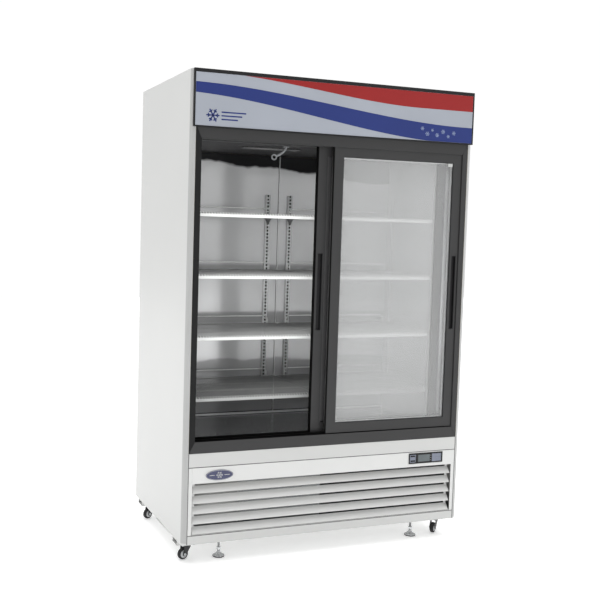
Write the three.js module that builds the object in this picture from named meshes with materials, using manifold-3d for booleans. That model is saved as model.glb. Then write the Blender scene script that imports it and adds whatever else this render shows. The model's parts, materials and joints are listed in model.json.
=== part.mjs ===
// A two-section glass door merchandiser: a foam-insulated, white-skinned refrigerated cabinet on
// casters, with two sliding glass doors, wire shelves, a lit header and a bottom-mounted condensing
// unit behind a louvred grille.
// Millimetres. X runs to the right seen from the front, Y to the back, Z up. The origin is the middle
// of the footprint on the floor. It is drawn as it stands: the left door slid open, the right closed.
import * as THREE from "three";
import { mergeVertices } from "three/addons/utils/BufferGeometryUtils.js";
import Module from "manifold-3d";

const wasm = await Module();
wasm.setup();

// ---- Driving dimensions ----

const WIDTH = 1382;
const HEIGHT = 2110;
const CABINET_DEPTH = 780;
const HEADER_PROUD = 13; // how far the header stands in front of the cabinet
const HALF = WIDTH / 2;
const FRONT = HEADER_PROUD - (CABINET_DEPTH + HEADER_PROUD) / 2; // Y of the cabinet's front face
const BACK = FRONT + CABINET_DEPTH;

const GAP = 0.3; // clearance between touching pieces
const SHEET = 1.2; // steel sheet
const CORNER_R = 22; // rounded front corners of the cabinet

// Levels, from the floor up.
const CHANNEL_Z = 71; // underside of the transverse channels
const BASE_Z = 93; // underside of the base rim
const SKIN_Z = 101; // lower edge of the side panels
const RAIL_TOP = 132;
const GRILLE_TOP = 429.5;
const FRAME_BOTTOM = 490; // lower edge of the door frame
const SILL_TOP = 540; // door track
const LINTEL = 1824; // upper edge of the door opening
const FRAME_TOP = 1880;
const CEILING_Z = 1826;
const FOAM_CEILING_Z = 2050;

// Door opening and doors.
const FRAME_HALF = 668;
const OPENING_HALF = 641.5;
const FRAME_DEPTH = 92;
const DOOR_WIDTH = 661;
const DOOR_BOTTOM = 543;
const DOOR_TOP = 1838;
const DOOR_THICK = 28;
const STILE = 45;
const DOOR_RAIL_BOTTOM = 45;
const DOOR_RAIL_TOP = 55;
const FRONT_TRACK = 6; // depth of the right door's face behind the cabinet's face
const REAR_TRACK = 40; // depth of the left door's face
const LEFT_DOOR_OPENED = 560; // how far the left door stands open
const RIB_HEIGHT = 7; // the guide ribs the doors run on

// Interior.
const LINER_HALF = 642;
const LINER_FRONT = FRAME_DEPTH + 1;
const LINER_BACK = 668;
const FLOOR_Z = 506;
const SHELF_LEVELS = [1523, 1251, 979, 707]; // top faces of the shelves
const SHELF_WIDTH = 620;
const SHELF_INNER = 8; // shelf edge to the centre line
const SHELF_FRONT = 128;
const SHELF_DEPTH = 522;

// Running gear.
const CASTER_X = 636;
const CASTER_DEPTHS = [100, 690];
const WHEEL_R = 25;
const WHEEL_BORE = 4.3;
const TRAIL = 20;
const LEVELLER_X = 491;
const LEVELLER_DEPTH = 85;

// ---- Materials ----

const finish = (color, roughness, metalness, extra = {}) =>
  new THREE.MeshStandardMaterial({ color, roughness, metalness, ...extra });
const whiteSteel = finish(0xe2e3e0, 0.35, 0.1);
const darkFrame = finish(0x484848, 0.45, 0.4);
const blackPlastic = finish(0x161616, 0.55, 0.0);
const stainless = finish(0xa9abac, 0.3, 0.9);
const galvanised = finish(0x8f9395, 0.5, 0.8);
const glassPane = finish(0xc4cbcd, 0.05, 0.0, { transparent: true, opacity: 0.35 });
const whiteWire = finish(0xeceeec, 0.4, 0.0);
const foam = finish(0xe8d9a8, 0.9, 0.0);
const signFace = finish(0xaab4bd, 0.25, 0.0);
const navyPlastic = finish(0x262b4e, 0.35, 0.0);
const greyPlastic = finish(0x7d8791, 0.4, 0.0);
const castBlack = finish(0x1d1e20, 0.6, 0.3);
const chromeSteel = finish(0xc9cccd, 0.15, 1.0);
const lampWhite = finish(0xf4f6f7, 0.3, 0.0);

// ---- Geometry helpers ----

// A box from its limits. The depth limits are measured back from the cabinet's front face.
function box(x0, x1, depth0, depth1, z0, z1) {
  const g = new THREE.BoxGeometry(x1 - x0, depth1 - depth0, z1 - z0);
  return g.translate((x0 + x1) / 2, FRONT + (depth0 + depth1) / 2, (z0 + z1) / 2);
}

// A box from its size, centred on the origin.
const block = (x, y, z) => new THREE.BoxGeometry(x, y, z);

const extrude = (shape, depth) =>
  new THREE.ExtrudeGeometry(shape, { depth, bevelEnabled: false, curveSegments: 8 });

// An outline in X and Z, drawn out along Y.
function alongY(shape, depth0, depth1) {
  const g = extrude(shape, depth1 - depth0).rotateX(Math.PI / 2);
  return g.translate(0, FRONT + depth1, 0);
}

// An outline in Y and Z, drawn out along X.
function alongX(shape, x0, x1) {
  const turn = new THREE.Matrix4().makeBasis(
    new THREE.Vector3(0, 1, 0),
    new THREE.Vector3(0, 0, 1),
    new THREE.Vector3(1, 0, 0),
  );
  return extrude(shape, x1 - x0).applyMatrix4(turn).translate(x0, 0, 0);
}

// An outline in X and Y, drawn up along Z.
const alongZ = (shape, z0, z1) => extrude(shape, z1 - z0).translate(0, 0, z0);

const cylinderX = (r, length, sides = 24) =>
  new THREE.CylinderGeometry(r, r, length, sides).rotateZ(Math.PI / 2);
const cylinderY = (r, length, sides = 24) => new THREE.CylinderGeometry(r, r, length, sides);
const cylinderZ = (r, length, sides = 24) =>
  new THREE.CylinderGeometry(r, r, length, sides).rotateX(Math.PI / 2);

// A turned shape about Z, from [radius, height] pairs that start and end on the axis.
const turnedZ = (profile, sides = 24) =>
  new THREE.LatheGeometry(
    profile.map(([r, z]) => new THREE.Vector2(r, z)),
    sides,
  ).rotateX(Math.PI / 2);

function polygon(points) {
  return new THREE.Shape(points.map(([x, y]) => new THREE.Vector2(x, y)));
}

// A closed geometry as a solid for joining and cutting.
function solid(geometry) {
  const bare = new THREE.BufferGeometry().setAttribute("position", geometry.getAttribute("position"));
  if (geometry.index) bare.setIndex(geometry.index);
  const merged = mergeVertices(bare, 1e-4);
  return new wasm.Manifold(
    new wasm.Mesh({
      numProp: 3,
      vertProperties: new Float32Array(merged.attributes.position.array),
      triVerts: new Uint32Array(merged.index.array),
    }),
  );
}

function geometryOf(manifold) {
  const { vertProperties, triVerts } = manifold.getMesh();
  const g = new THREE.BufferGeometry();
  g.setAttribute("position", new THREE.BufferAttribute(new Float32Array(vertProperties), 3));
  g.setIndex(new THREE.BufferAttribute(new Uint32Array(triVerts), 1));
  g.computeVertexNormals();
  return g;
}

const join = (...geometries) =>
  geometryOf(geometries.map(solid).reduce((whole, piece) => whole.add(piece)));
const cut = (geometry, ...tools) =>
  geometryOf(tools.map(solid).reduce((whole, tool) => whole.subtract(tool), solid(geometry)));

const merchandiser = new THREE.Group();

function add(name, geometry, material, parent = merchandiser) {
  const mesh = new THREE.Mesh(geometry, material);
  mesh.name = name;
  parent.add(mesh);
  return mesh;
}

// Each left and right pair: the side's name and its sign along X.
const SIDES = [
  ["left", -1],
  ["right", 1],
];

// ---- Cabinet skins, insulation and liner ----

const PANEL_RETURN = HALF - CORNER_R; // where a side panel's rounded front corner ends
const BACK_RECESS = 5; // the back panel sits inside the side panels' rear edges
const SILL_RETURN = 21.5; // how deep the sill panel's flange goes under the door frame
const SKIN_INSIDE = HALF - SHEET - GAP;
const PANEL_DEPTH = CABINET_DEPTH - BACK_RECESS; // depth of the back panel's outer face
const DUCT_BACK = 718; // the cold-air duct runs down between the back liner and the foam
const GLAND = { x: 600, z: 160, radius: 11, bore: 5, flange: 17 };

// The plan outline of the right side panel: a flat side that rolls round the front corner.
function sidePanelOutline() {
  const s = new THREE.Shape();
  s.moveTo(HALF, BACK);
  s.lineTo(HALF - SHEET, BACK);
  s.lineTo(HALF - SHEET, FRONT + CORNER_R);
  s.absarc(PANEL_RETURN, FRONT + CORNER_R, CORNER_R - SHEET, 0, -Math.PI / 2, true);
  s.lineTo(PANEL_RETURN, FRONT);
  s.absarc(PANEL_RETURN, FRONT + CORNER_R, CORNER_R, -Math.PI / 2, 0, false);
  return s;
}

// A rectangle in plan with rounded front corners.
function roundedPlan(half, front, back, radius) {
  const s = new THREE.Shape();
  s.moveTo(half, back);
  s.lineTo(-half, back);
  s.lineTo(-half, front + radius);
  s.absarc(-half + radius, front + radius, radius, Math.PI, 1.5 * Math.PI, false);
  s.absarc(half - radius, front + radius, radius, -Math.PI / 2, 0, false);
  return s;
}

function addSkins() {
  for (const [side, sign] of SIDES) {
    const panel = add(`side_panel_${side}`, alongZ(sidePanelOutline(), SKIN_Z, HEIGHT), whiteSteel);
    panel.scale.x = sign;
  }
  const insideR = CORNER_R - SHEET - GAP;
  const topPlan = roundedPlan(SKIN_INSIDE, FRONT + SHEET + GAP, FRONT + PANEL_DEPTH, insideR);
  add("top_panel", alongZ(topPlan, HEIGHT - SHEET, HEIGHT), whiteSteel);
}

// The back sheet, with two banks of vent slots behind the condensing unit.
function addBackPanel() {
  const vents = [];
  const vent = { columns: [-330, 330], half: 150, height: 9, rows: 6, lowest: 205, pitch: 30 };
  for (const x of vent.columns)
    for (let row = 0; row < vent.rows; row++) {
      const z = vent.lowest + row * vent.pitch;
      vents.push(
        box(x - vent.half, x + vent.half, PANEL_DEPTH - 5, PANEL_DEPTH + 5, z, z + vent.height),
      );
    }
  const glandHole = cylinderY(GLAND.radius + GAP, 10);
  glandHole.translate(GLAND.x, FRONT + PANEL_DEPTH, GLAND.z);
  const top = HEIGHT - SHEET - GAP;
  const sheet = box(-SKIN_INSIDE, SKIN_INSIDE, PANEL_DEPTH - SHEET, PANEL_DEPTH, SKIN_Z, top);
  add("back_panel", cut(sheet, ...vents, glandHole), galvanised);
}

// The moulded bush that the supply lead passes through, in the back panel.
function addCordGland() {
  const face = FRONT + PANEL_DEPTH;
  const flangeThick = 3.6;
  const barrelLength = 16;
  const inPanel = (g, y) => g.translate(GLAND.x, y, GLAND.z);
  const flange = inPanel(cylinderY(GLAND.flange, flangeThick), face + GAP + flangeThick / 2);
  const barrel = inPanel(cylinderY(GLAND.radius, barrelLength), face + 2 - barrelLength / 2);
  const bore = inPanel(cylinderY(GLAND.bore, 3 * barrelLength), face);
  add("cord_gland", cut(join(flange, barrel), bore), blackPlastic);
}

// One moulding of rigid foam fills the walls: a thick box, open at the front round the door frame.
function addInsulation() {
  const foamBack = PANEL_DEPTH - SHEET - GAP;
  const insideR = CORNER_R - SHEET - GAP;
  const outer = alongZ(
    roundedPlan(SKIN_INSIDE, FRONT + SHEET + GAP, FRONT + foamBack, insideR),
    GRILLE_TOP + GAP,
    HEIGHT - SHEET - GAP,
  );
  const rebateHalf = FRAME_HALF + GAP;
  const frameRebate = box(
    -rebateHalf,
    rebateHalf,
    -5,
    FRAME_DEPTH + GAP,
    FRAME_BOTTOM - GAP,
    FRAME_TOP + GAP,
  );
  const cavityHalf = LINER_HALF + SHEET + GAP;
  const cavityFloor = FLOOR_Z - SHEET - GAP;
  const cavity = box(
    -cavityHalf,
    cavityHalf,
    FRAME_DEPTH - 2,
    DUCT_BACK,
    cavityFloor,
    FOAM_CEILING_Z,
  );
  const sillSpace = box(-HALF, HALF, -5, SILL_RETURN + 0.5, GRILLE_TOP - 30, FRAME_BOTTOM);
  add("insulation", cut(outer, frameRebate, cavity, sillSpace), foam);
}

// Shelf uprights pressed into each side wall of the liner.
const UPRIGHT = { width: 20, proud: 9, bottom: 690, top: 1627, depths: [150, 610] };

function addLiner() {
  for (const [side, sign] of SIDES) {
    const inner = LINER_HALF - UPRIGHT.proud;
    const uprights = UPRIGHT.depths.map((depth) =>
      box(inner, LINER_HALF + 0.5, depth, depth + UPRIGHT.width, UPRIGHT.bottom, UPRIGHT.top),
    );
    const wall = box(
      LINER_HALF,
      LINER_HALF + SHEET,
      LINER_FRONT,
      DUCT_BACK - GAP,
      FLOOR_Z + GAP,
      CEILING_Z - GAP,
    );
    add(`liner_${side}`, join(wall, ...uprights), stainless).scale.x = sign;
  }
  const half = LINER_HALF - GAP;
  const seam = box(-1.5, 1.5, LINER_BACK - 1, LINER_BACK + 0.6, 0, HEIGHT);
  add(
    "liner_back",
    cut(box(-half, half, LINER_BACK, LINER_BACK + SHEET, FLOOR_Z + GAP, CEILING_Z - GAP), seam),
    stainless,
  );
  add(
    "liner_floor",
    box(-half, half, LINER_FRONT, LINER_BACK + SHEET, FLOOR_Z - SHEET, FLOOR_Z),
    stainless,
  );
}

// Slotted uprights on the back liner, either side of the centre seam.
function addPilasters() {
  const offset = 61;
  const half = 11;
  const proud = 12;
  const slot = { half: 3, height: 18, pitch: 49, floor: 2.5 };
  const [bottom, top] = [FLOOR_Z + 194, UPRIGHT.top];
  for (const [side, sign] of SIDES) {
    const x = sign * offset;
    const slots = [];
    for (let z = bottom + 10; z < top - slot.height - 5; z += slot.pitch)
      slots.push(
        box(
          x - slot.half,
          x + slot.half,
          LINER_BACK - 20,
          LINER_BACK - slot.floor,
          z,
          z + slot.height,
        ),
      );
    const bar = box(x - half, x + half, LINER_BACK - proud, LINER_BACK - GAP, bottom, top);
    add(`pilaster_${side}`, cut(bar, ...slots), galvanised);
  }
}

// The upright behind the meeting door stiles that carries the shelves' front inner corners.
function addCentrePost() {
  const half = 12;
  const [front, back] = [104, 124];
  const wall = 2.5;
  const post = box(-half, half, front, back, FLOOR_Z + GAP, CEILING_Z - GAP);
  const inside = half - wall;
  const hollow = box(-inside, inside, front + wall, back + 5, FLOOR_Z - 10, CEILING_Z + 10);
  add("centre_post", cut(post, hollow), galvanised);
}

// ---- Shelves ----

// One shelf about its own centre: a slatted deck, a ticket strip in front and a fence behind.
function shelfGeometry() {
  const deckThick = 4;
  const border = 9;
  const barWidth = 15;
  const bars = 21;
  const stripThick = 2.5;
  const stripHeight = 20;
  const fence = { height: 38, wire: 5, inset: 6, post: 12.5 };
  const halfW = SHELF_WIDTH / 2;
  const halfD = SHELF_DEPTH / 2;
  const pitch = (SHELF_WIDTH - 2 * border + barWidth) / (bars + 1);
  const slots = [];
  for (let i = 0; i <= bars; i++) {
    const slotX = -halfW + border + (i + 0.5) * pitch - barWidth / 2;
    slots.push(
      block(pitch - barWidth, SHELF_DEPTH - 2 * border, deckThick * 3).translate(slotX, 0, 0),
    );
  }
  const plate = block(SHELF_WIDTH, SHELF_DEPTH, deckThick).translate(0, 0, -deckThick / 2);
  const strip = block(SHELF_WIDTH, stripThick, stripHeight);
  strip.translate(0, -halfD + stripThick / 2, -stripHeight / 2);

  const { height, wire } = fence;
  const fenceY = halfD - fence.inset;
  const topWire = block(2 * (halfW - fence.post) + wire, wire, wire);
  topWire.translate(0, fenceY, height - wire / 2);
  const posts = [-1, 1].map((sign) =>
    block(wire, wire, height).translate(sign * (halfW - fence.post), fenceY, height / 2 - 2),
  );
  return join(cut(plate, ...slots), strip, topWire, ...posts);
}

function addShelves() {
  const geometry = shelfGeometry();
  for (const [side, sign] of SIDES)
    SHELF_LEVELS.forEach((level, i) => {
      const shelf = add(`shelf_${side}_${i + 1}`, geometry, whiteWire);
      shelf.position.set(
        sign * (SHELF_INNER + SHELF_WIDTH / 2),
        FRONT + SHELF_FRONT + SHELF_DEPTH / 2,
        level,
      );
    });
}

// ---- Door frame with its tracks ----

function addDoorFrame() {
  const mitreGap = 2 * GAP;
  for (const [side, sign] of SIDES) {
    const jamb = polygon([
      [FRAME_HALF, FRAME_BOTTOM + mitreGap],
      [FRAME_HALF, FRAME_TOP - mitreGap],
      [OPENING_HALF, LINTEL - mitreGap],
      [OPENING_HALF, SILL_TOP + mitreGap],
    ]);
    add(`jamb_${side}`, alongY(jamb, 0, FRAME_DEPTH), darkFrame).scale.x = sign;
  }

  const lintel = polygon([
    [-OPENING_HALF, LINTEL],
    [OPENING_HALF, LINTEL],
    [FRAME_HALF, FRAME_TOP],
    [-FRAME_HALF, FRAME_TOP],
  ]);
  const pocketTop = DOOR_TOP + 4;
  const play = 1.5;
  const grooves = [FRONT_TRACK, REAR_TRACK].map((depth) =>
    box(-HALF, HALF, depth - play, depth + DOOR_THICK + play, LINTEL - 10, pocketTop),
  );
  add("top_track", cut(alongY(lintel, 0, FRAME_DEPTH), ...grooves), darkFrame);

  const sill = polygon([
    [-FRAME_HALF, FRAME_BOTTOM],
    [FRAME_HALF, FRAME_BOTTOM],
    [OPENING_HALF, SILL_TOP],
    [-OPENING_HALF, SILL_TOP],
  ]);
  const ribs = [FRONT_TRACK, REAR_TRACK].map((depth) => {
    const middle = depth + DOOR_THICK / 2;
    const half = OPENING_HALF - 1;
    const ribHalf = 2;
    return box(
      -half,
      half,
      middle - ribHalf,
      middle + ribHalf,
      SILL_TOP - 1,
      SILL_TOP + RIB_HEIGHT,
    );
  });
  add("bottom_track", join(alongY(sill, 0, FRAME_DEPTH), ...ribs), darkFrame);
}

// ---- Sliding doors ----

const PULL = { width: 22, height: 344, depth: 13, z: 1180, wall: 2 };
const PULL_OFFSET = 22; // from the door's outer edge to the middle of its pull
const PANE_THICK = 16;
const PANE_REBATE = 8; // how far the pane reaches into the frame all round

// One door about its own face: X is 0 at its middle, Y is 0 at its face, Z is the height off the floor.
// outer is -1 when the pull is on the left stile and 1 when it is on the right.
function addDoor(side, outer, centreX, depth) {
  const door = new THREE.Group();
  door.position.set(centreX, FRONT + depth, 0);
  merchandiser.add(door);

  // A block in the door, centred at x and z, with its middle at y.
  const inDoor = (w, d, h, x, y, z) => block(w, d, h).translate(x, y, z);
  const middleY = DOOR_THICK / 2;
  const middleZ = (DOOR_TOP + DOOR_BOTTOM) / 2;
  const sightBottom = DOOR_BOTTOM + DOOR_RAIL_BOTTOM;
  const sightTop = DOOR_TOP - DOOR_RAIL_TOP;
  const sightWidth = DOOR_WIDTH - 2 * STILE;
  const sightHeight = sightTop - sightBottom;
  const sightZ = (sightTop + sightBottom) / 2;
  const paneWidth = sightWidth + 2 * PANE_REBATE;
  const paneHeight = sightHeight + 2 * PANE_REBATE;
  const room = 2 * GAP;
  const pullX = outer * (DOOR_WIDTH / 2 - PULL_OFFSET);

  const outside = inDoor(DOOR_WIDTH, DOOR_THICK, DOOR_TOP - DOOR_BOTTOM, 0, middleY, middleZ);
  const sight = inDoor(sightWidth, 2 * DOOR_THICK, sightHeight, 0, middleY, sightZ);
  const rebate = inDoor(paneWidth + room, PANE_THICK + room, paneHeight + room, 0, middleY, sightZ);
  const ribSlot = inDoor(DOOR_WIDTH + 10, 8, 22, 0, middleY, DOOR_BOTTOM);
  const recess = inDoor(
    PULL.width + room,
    2 * (PULL.depth + GAP),
    PULL.height + room,
    pullX,
    0,
    PULL.z,
  );
  const frame = cut(outside, sight, rebate, ribSlot, recess);
  add(`door_${side}_frame`, frame, darkFrame, door);

  const pane = inDoor(paneWidth, PANE_THICK, paneHeight, 0, middleY, sightZ);
  add(`door_${side}_glass`, pane, glassPane, door);

  const cup = inDoor(PULL.width, PULL.depth, PULL.height, pullX, PULL.depth / 2, PULL.z);
  const hollow = inDoor(
    PULL.width - 2 * PULL.wall,
    2 * (PULL.depth - PULL.wall),
    PULL.height - 2 * PULL.wall,
    pullX,
    0,
    PULL.z,
  );
  add(`door_${side}_pull`, cut(cup, hollow), blackPlastic, door);
}

function addDoors() {
  const closedCentre = OPENING_HALF - 0.5 - DOOR_WIDTH / 2;
  addDoor("left", -1, -closedCentre + LEFT_DOOR_OPENED, REAR_TRACK);
  addDoor("right", 1, closedCentre, FRONT_TRACK);
}

// ---- Cooling inside the cabinet ----

const FAN_X = 215;
const FAN_Z = 1941;

// A propeller of flat pitched blades joined to a hub, turning about Y.
function fanGeometry(radius, blades, hubR, hubLength) {
  const pieces = [cylinderY(hubR, hubLength, 16)];
  const root = hubR - 6;
  const bladeLength = radius - root;
  const pitch = 0.5;
  for (let i = 0; i < blades; i++) {
    const blade = block(bladeLength, 2, radius * 0.55);
    blade.rotateX(pitch);
    blade.translate(root + bladeLength / 2, 0, 0);
    blade.rotateY((i * 2 * Math.PI) / blades);
    pieces.push(blade);
  }
  return join(...pieces);
}

function addEvaporator() {
  const half = LINER_HALF - GAP;
  const fans = [-FAN_X, FAN_X];
  const intakes = fans.map((x) => box(x - 130, x + 130, 250, 300, CEILING_Z - 10, CEILING_Z + 10));
  const back = LINER_BACK - GAP;
  const ceiling = box(-half, half, LINER_FRONT, back, CEILING_Z, CEILING_Z + SHEET);
  add("evaporator_cover", cut(ceiling, ...intakes), galvanised);

  // The finned block between two end plates that hang from the foam, with a motor bracket per fan.
  const coil = { half: 430, front: 440, back: 620, bottom: 1858, top: 2024 };
  const plateBottom = coil.bottom - 8;
  const plateTop = FOAM_CEILING_Z - GAP;
  const pieces = [box(-coil.half, coil.half, coil.front, coil.back, coil.bottom, coil.top)];
  for (const x of [-coil.half - 4, coil.half + 4])
    pieces.push(box(x - 5, x + 5, coil.front - 4, coil.back + 4, plateBottom, plateTop));
  for (const x of fans) {
    pieces.push(cylinderY(38, 60).translate(x, FRONT + coil.front - 28, FAN_Z));
    pieces.push(box(x - 90, x + 90, coil.front - 15, coil.front + 1, FAN_Z - 12, FAN_Z + 12));
  }
  add("evaporator_coil", join(...pieces), galvanised);

  const fanDepth = coil.front - 76;
  for (const [side, sign] of SIDES)
    add(`evaporator_fan_${side}`, fanGeometry(88, 5, 26, 34), greyPlastic).position.set(
      sign * FAN_X,
      FRONT + fanDepth,
      FAN_Z,
    );
}

// A ring on a bent strap, hung from the ceiling just inside the left opening.
function addCeilingHook() {
  const [x, y, top] = [-193, FRONT + 150, CEILING_Z - GAP];
  const strapR = 3.4;
  const plate = block(24, 16, 3).translate(x, y, top - 1.5);
  const route = new THREE.CatmullRomCurve3([
    new THREE.Vector3(x, y, top - 2),
    new THREE.Vector3(x - 5, y, top - 17),
    new THREE.Vector3(x - 26, y, top - 36),
    new THREE.Vector3(x - 47, y, top - 45),
  ]);
  const section = new THREE.Shape();
  section.absarc(0, 0, strapR, 0, 2 * Math.PI, false);
  const strap = new THREE.ExtrudeGeometry(section, {
    steps: 8,
    curveSegments: 4,
    extrudePath: route,
  });
  const ring = new THREE.TorusGeometry(11, 3.6, 6, 14).rotateX(Math.PI / 2);
  ring.translate(x - 57, y, top - 49);
  add("ceiling_hook", join(plate, strap, ring), greyPlastic);
}

// ---- Header ----

// A shallow frame with a printed panel let into its front and a strip lamp behind the panel.
function addHeader() {
  const half = HALF - 7;
  const bottom = 1871.5;
  const bar = { top: 15, side: 7, bottom: 5 };
  const face = -HEADER_PROUD;
  const backWall = 1.5;
  const pocketHalf = half - bar.side;
  const [pocketBottom, pocketTop] = [bottom + bar.bottom, HEIGHT - bar.top];
  const outer = box(-half, half, face, -GAP, bottom, HEIGHT);
  const pocketBack = -GAP - backWall;
  const pocket = box(-pocketHalf, pocketHalf, face - 5, pocketBack, pocketBottom, pocketTop);
  add("header_housing", cut(outer, pocket), blackPlastic);

  const panelHalf = pocketHalf - GAP;
  const panelFace = face + 1.2;
  const panel = box(
    -panelHalf,
    panelHalf,
    panelFace,
    panelFace + 3,
    pocketBottom + GAP,
    pocketTop - GAP,
  );
  add("header_panel", panel, signFace);

  const lamp = { z: 1988, half: 600, height: 10, board: 1.6, chips: 20, chipHalf: 5 };
  const boardBack = pocketBack - GAP;
  const boardFront = boardBack - lamp.board;
  const { z, height, chipHalf } = lamp;
  const pieces = [box(-lamp.half, lamp.half, boardFront, boardBack, z - height, z + height)];
  for (let i = 0; i < lamp.chips; i++) {
    const x = (-1 + (2 * i + 1) / lamp.chips) * lamp.half;
    const chip = box(x - chipHalf, x + chipHalf, boardFront - 2, boardFront + 0.5, z - 4, z + 4);
    pieces.push(chip);
  }
  add("header_lamp", join(...pieces), lampWhite);
}

// ---- Lower front: sill, grille, badge and controller ----

const GRILLE = { half: 666, thick: 1.6, slats: 5 };
const BAND = { half: 650, bottom: 359, proud: 1.4 }; // the plain raised band across the grille's top
const CONTROLLER = { x: 506, z: 399, width: 184, height: 50, proud: 4.2, inset: 3 };

function addSillPanel() {
  const top = FRAME_BOTTOM - GAP;
  const face = box(-FRAME_HALF, FRAME_HALF, 0, 1.5, GRILLE_TOP + GAP, top);
  const flange = box(-FRAME_HALF, FRAME_HALF, 0, SILL_RETURN, top - 1.8, top);
  add("sill_panel", join(face, flange), whiteSteel);
}

// Pitched slats in a window, carried by a rib behind each end, under the plain band.
function addGrille() {
  const { half, thick, slats } = GRILLE;
  const bottom = RAIL_TOP + GAP;
  const windowHalf = 649;
  const windowBottom = bottom + 3;
  const face = cut(
    box(-half, half, 0, thick, bottom, GRILLE_TOP),
    box(-windowHalf, windowHalf, -5, 5, windowBottom, BAND.bottom),
  );
  const band = box(-BAND.half, BAND.half, -BAND.proud, 0.5, BAND.bottom, GRILLE_TOP - 1.5);
  const pieces = [face, band];

  const rise = 29;
  const run = 23;
  const tilt = Math.atan2(run, rise);
  const pitch = (BAND.bottom - windowBottom) / slats;
  for (let i = 0; i < slats; i++) {
    const lowEdge = BAND.bottom - (i + 1) * pitch + 1.5;
    const slat = block(2 * windowHalf - 8, thick, Math.hypot(run, rise)).rotateX(-tilt);
    pieces.push(slat.translate(0, FRONT + 2 + run / 2, lowEdge + rise / 2));
  }

  const ribFront = run - 1;
  const ribTop = BAND.bottom + 8;
  const tab = 3;
  for (const x of [-637, 637]) {
    const [x0, x1] = [x - 6, x + 6];
    pieces.push(box(x0, x1, ribFront, ribFront + tab, bottom, ribTop));
    pieces.push(box(x0, x1, 1, ribFront + 2, ribTop - tab, ribTop));
    pieces.push(box(x0, x1, 1, ribFront + 2, bottom, bottom + tab - 0.5));
  }

  const { x, z, width, height, inset } = CONTROLLER;
  const [w, h] = [width / 2 - inset, height / 2 - inset];
  const opening = box(x - w, x + w, -10, 10, z - h, z + h);
  add("grille_panel", cut(join(...pieces), opening), whiteSteel);
}

// A plain oval plate on the band.
function addBadge() {
  const thick = 2.4;
  const badge = cylinderY(1, thick, 40);
  badge.scale(63, 1, 23);
  badge.translate(-527, FRONT - BAND.proud - GAP - thick / 2, 392);
  add("badge", badge, navyPlastic);
}

// The controller's three keys, as places across its face from its centre.
const KEYS = [
  ["set", -71, 0],
  ["up", 67, 10.5],
  ["down", 67, -10.5],
];
const KEY = { width: 24, height: 15, thick: 4, proud: 0.4 };

function addController() {
  const { x, z, width, height, proud } = CONTROLLER;
  const face = -proud;
  const [halfW, halfH] = [width / 2, height / 2];
  const flangeBack = -BAND.proud - GAP;
  const flange = box(x - halfW, x + halfW, face, flangeBack, z - halfH, z + halfH);
  const [bodyW, bodyH] = [halfW, halfH].map((half) => half - CONTROLLER.inset - GAP);
  const body = box(x - bodyW, x + bodyW, face + 1, 40, z - bodyH, z + bodyH);
  const [wellW, wellH] = [KEY.width / 2 + GAP, KEY.height / 2 + GAP];
  const wells = KEYS.map(([, dx, dz]) =>
    box(x + dx - wellW, x + dx + wellW, face - 5, face + 6, z + dz - wellH, z + dz + wellH),
  );
  add("controller", cut(join(flange, body), ...wells), blackPlastic);

  const keyY = FRONT + face - KEY.proud + KEY.thick / 2;
  for (const [key, dx, dz] of KEYS)
    add(`key_${key}`, block(KEY.width, KEY.thick, KEY.height), greyPlastic).position.set(
      x + dx,
      keyY,
      z + dz,
    );
}

// ---- Base frame and condensing unit ----

const CHANNEL = { depth: 68, wall: 2.5 };
const CASTER_PLATE = { half: 32, thick: 3, racewayR: 20, racewayBottom: 7 };

// One welding: rim, pan, front rail, two open-ended channels and the caster plates under them.
function addBaseFrame() {
  const rimTop = SKIN_Z - GAP;
  const rim = cut(
    alongZ(roundedPlan(HALF, FRONT, BACK, CORNER_R), BASE_Z, rimTop),
    box(-HALF + 16, HALF - 16, 14, CABINET_DEPTH - 16, 0, HEIGHT),
  );
  const pan = box(-HALF + 15, HALF - 15, 13, CABINET_DEPTH - 15, SKIN_Z - 2, rimTop);
  const rail = box(-FRAME_HALF, FRAME_HALF, 0, 2, BASE_Z + 1, RAIL_TOP);
  const railFlange = box(-FRAME_HALF, FRAME_HALF, 1, 14, RAIL_TOP - 2, RAIL_TOP);
  const pieces = [rim, pan, rail, railFlange];

  const { wall } = CHANNEL;
  const channelTop = SKIN_Z - 1.5;
  for (const depth of CASTER_DEPTHS) {
    const [d0, d1] = [depth - CHANNEL.depth / 2, depth + CHANNEL.depth / 2];
    const channel = cut(
      box(-HALF, HALF, d0, d1, CHANNEL_Z, channelTop),
      box(-HALF - 5, HALF + 5, d0 + wall, d1 - wall, CHANNEL_Z + wall, channelTop - wall),
    );
    pieces.push(channel);
    for (const sign of [-1, 1]) {
      const x = sign * CASTER_X;
      const { half, thick, racewayR, racewayBottom } = CASTER_PLATE;
      const plateBottom = CHANNEL_Z - thick;
      pieces.push(
        box(x - half, x + half, depth - half, depth + half, plateBottom, CHANNEL_Z + 0.5),
      );
      const raceway = cylinderZ(racewayR, racewayBottom - thick + 0.5, 16);
      const middle = CHANNEL_Z - (racewayBottom + thick - 0.5) / 2;
      pieces.push(raceway.translate(x, FRONT + depth, middle));
    }
  }

  // Each levelling stud rises through its channel and the pan.
  const studHoles = [-1, 1].map((sign) =>
    cylinderZ(8, 70, 12).translate(sign * LEVELLER_X, FRONT + LEVELLER_DEPTH, CHANNEL_Z + 15),
  );
  add("base_frame", cut(join(...pieces), ...studHoles), whiteSteel);
}

const COMPRESSOR = { x: 360, depth: 470, radius: 100 };
const CONDENSER = { x: -215, half: 200, front: 60, back: 120, top: 400 };
const CONDENSER_FAN = { z: 250, depth: 176, radius: 118 };

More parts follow.
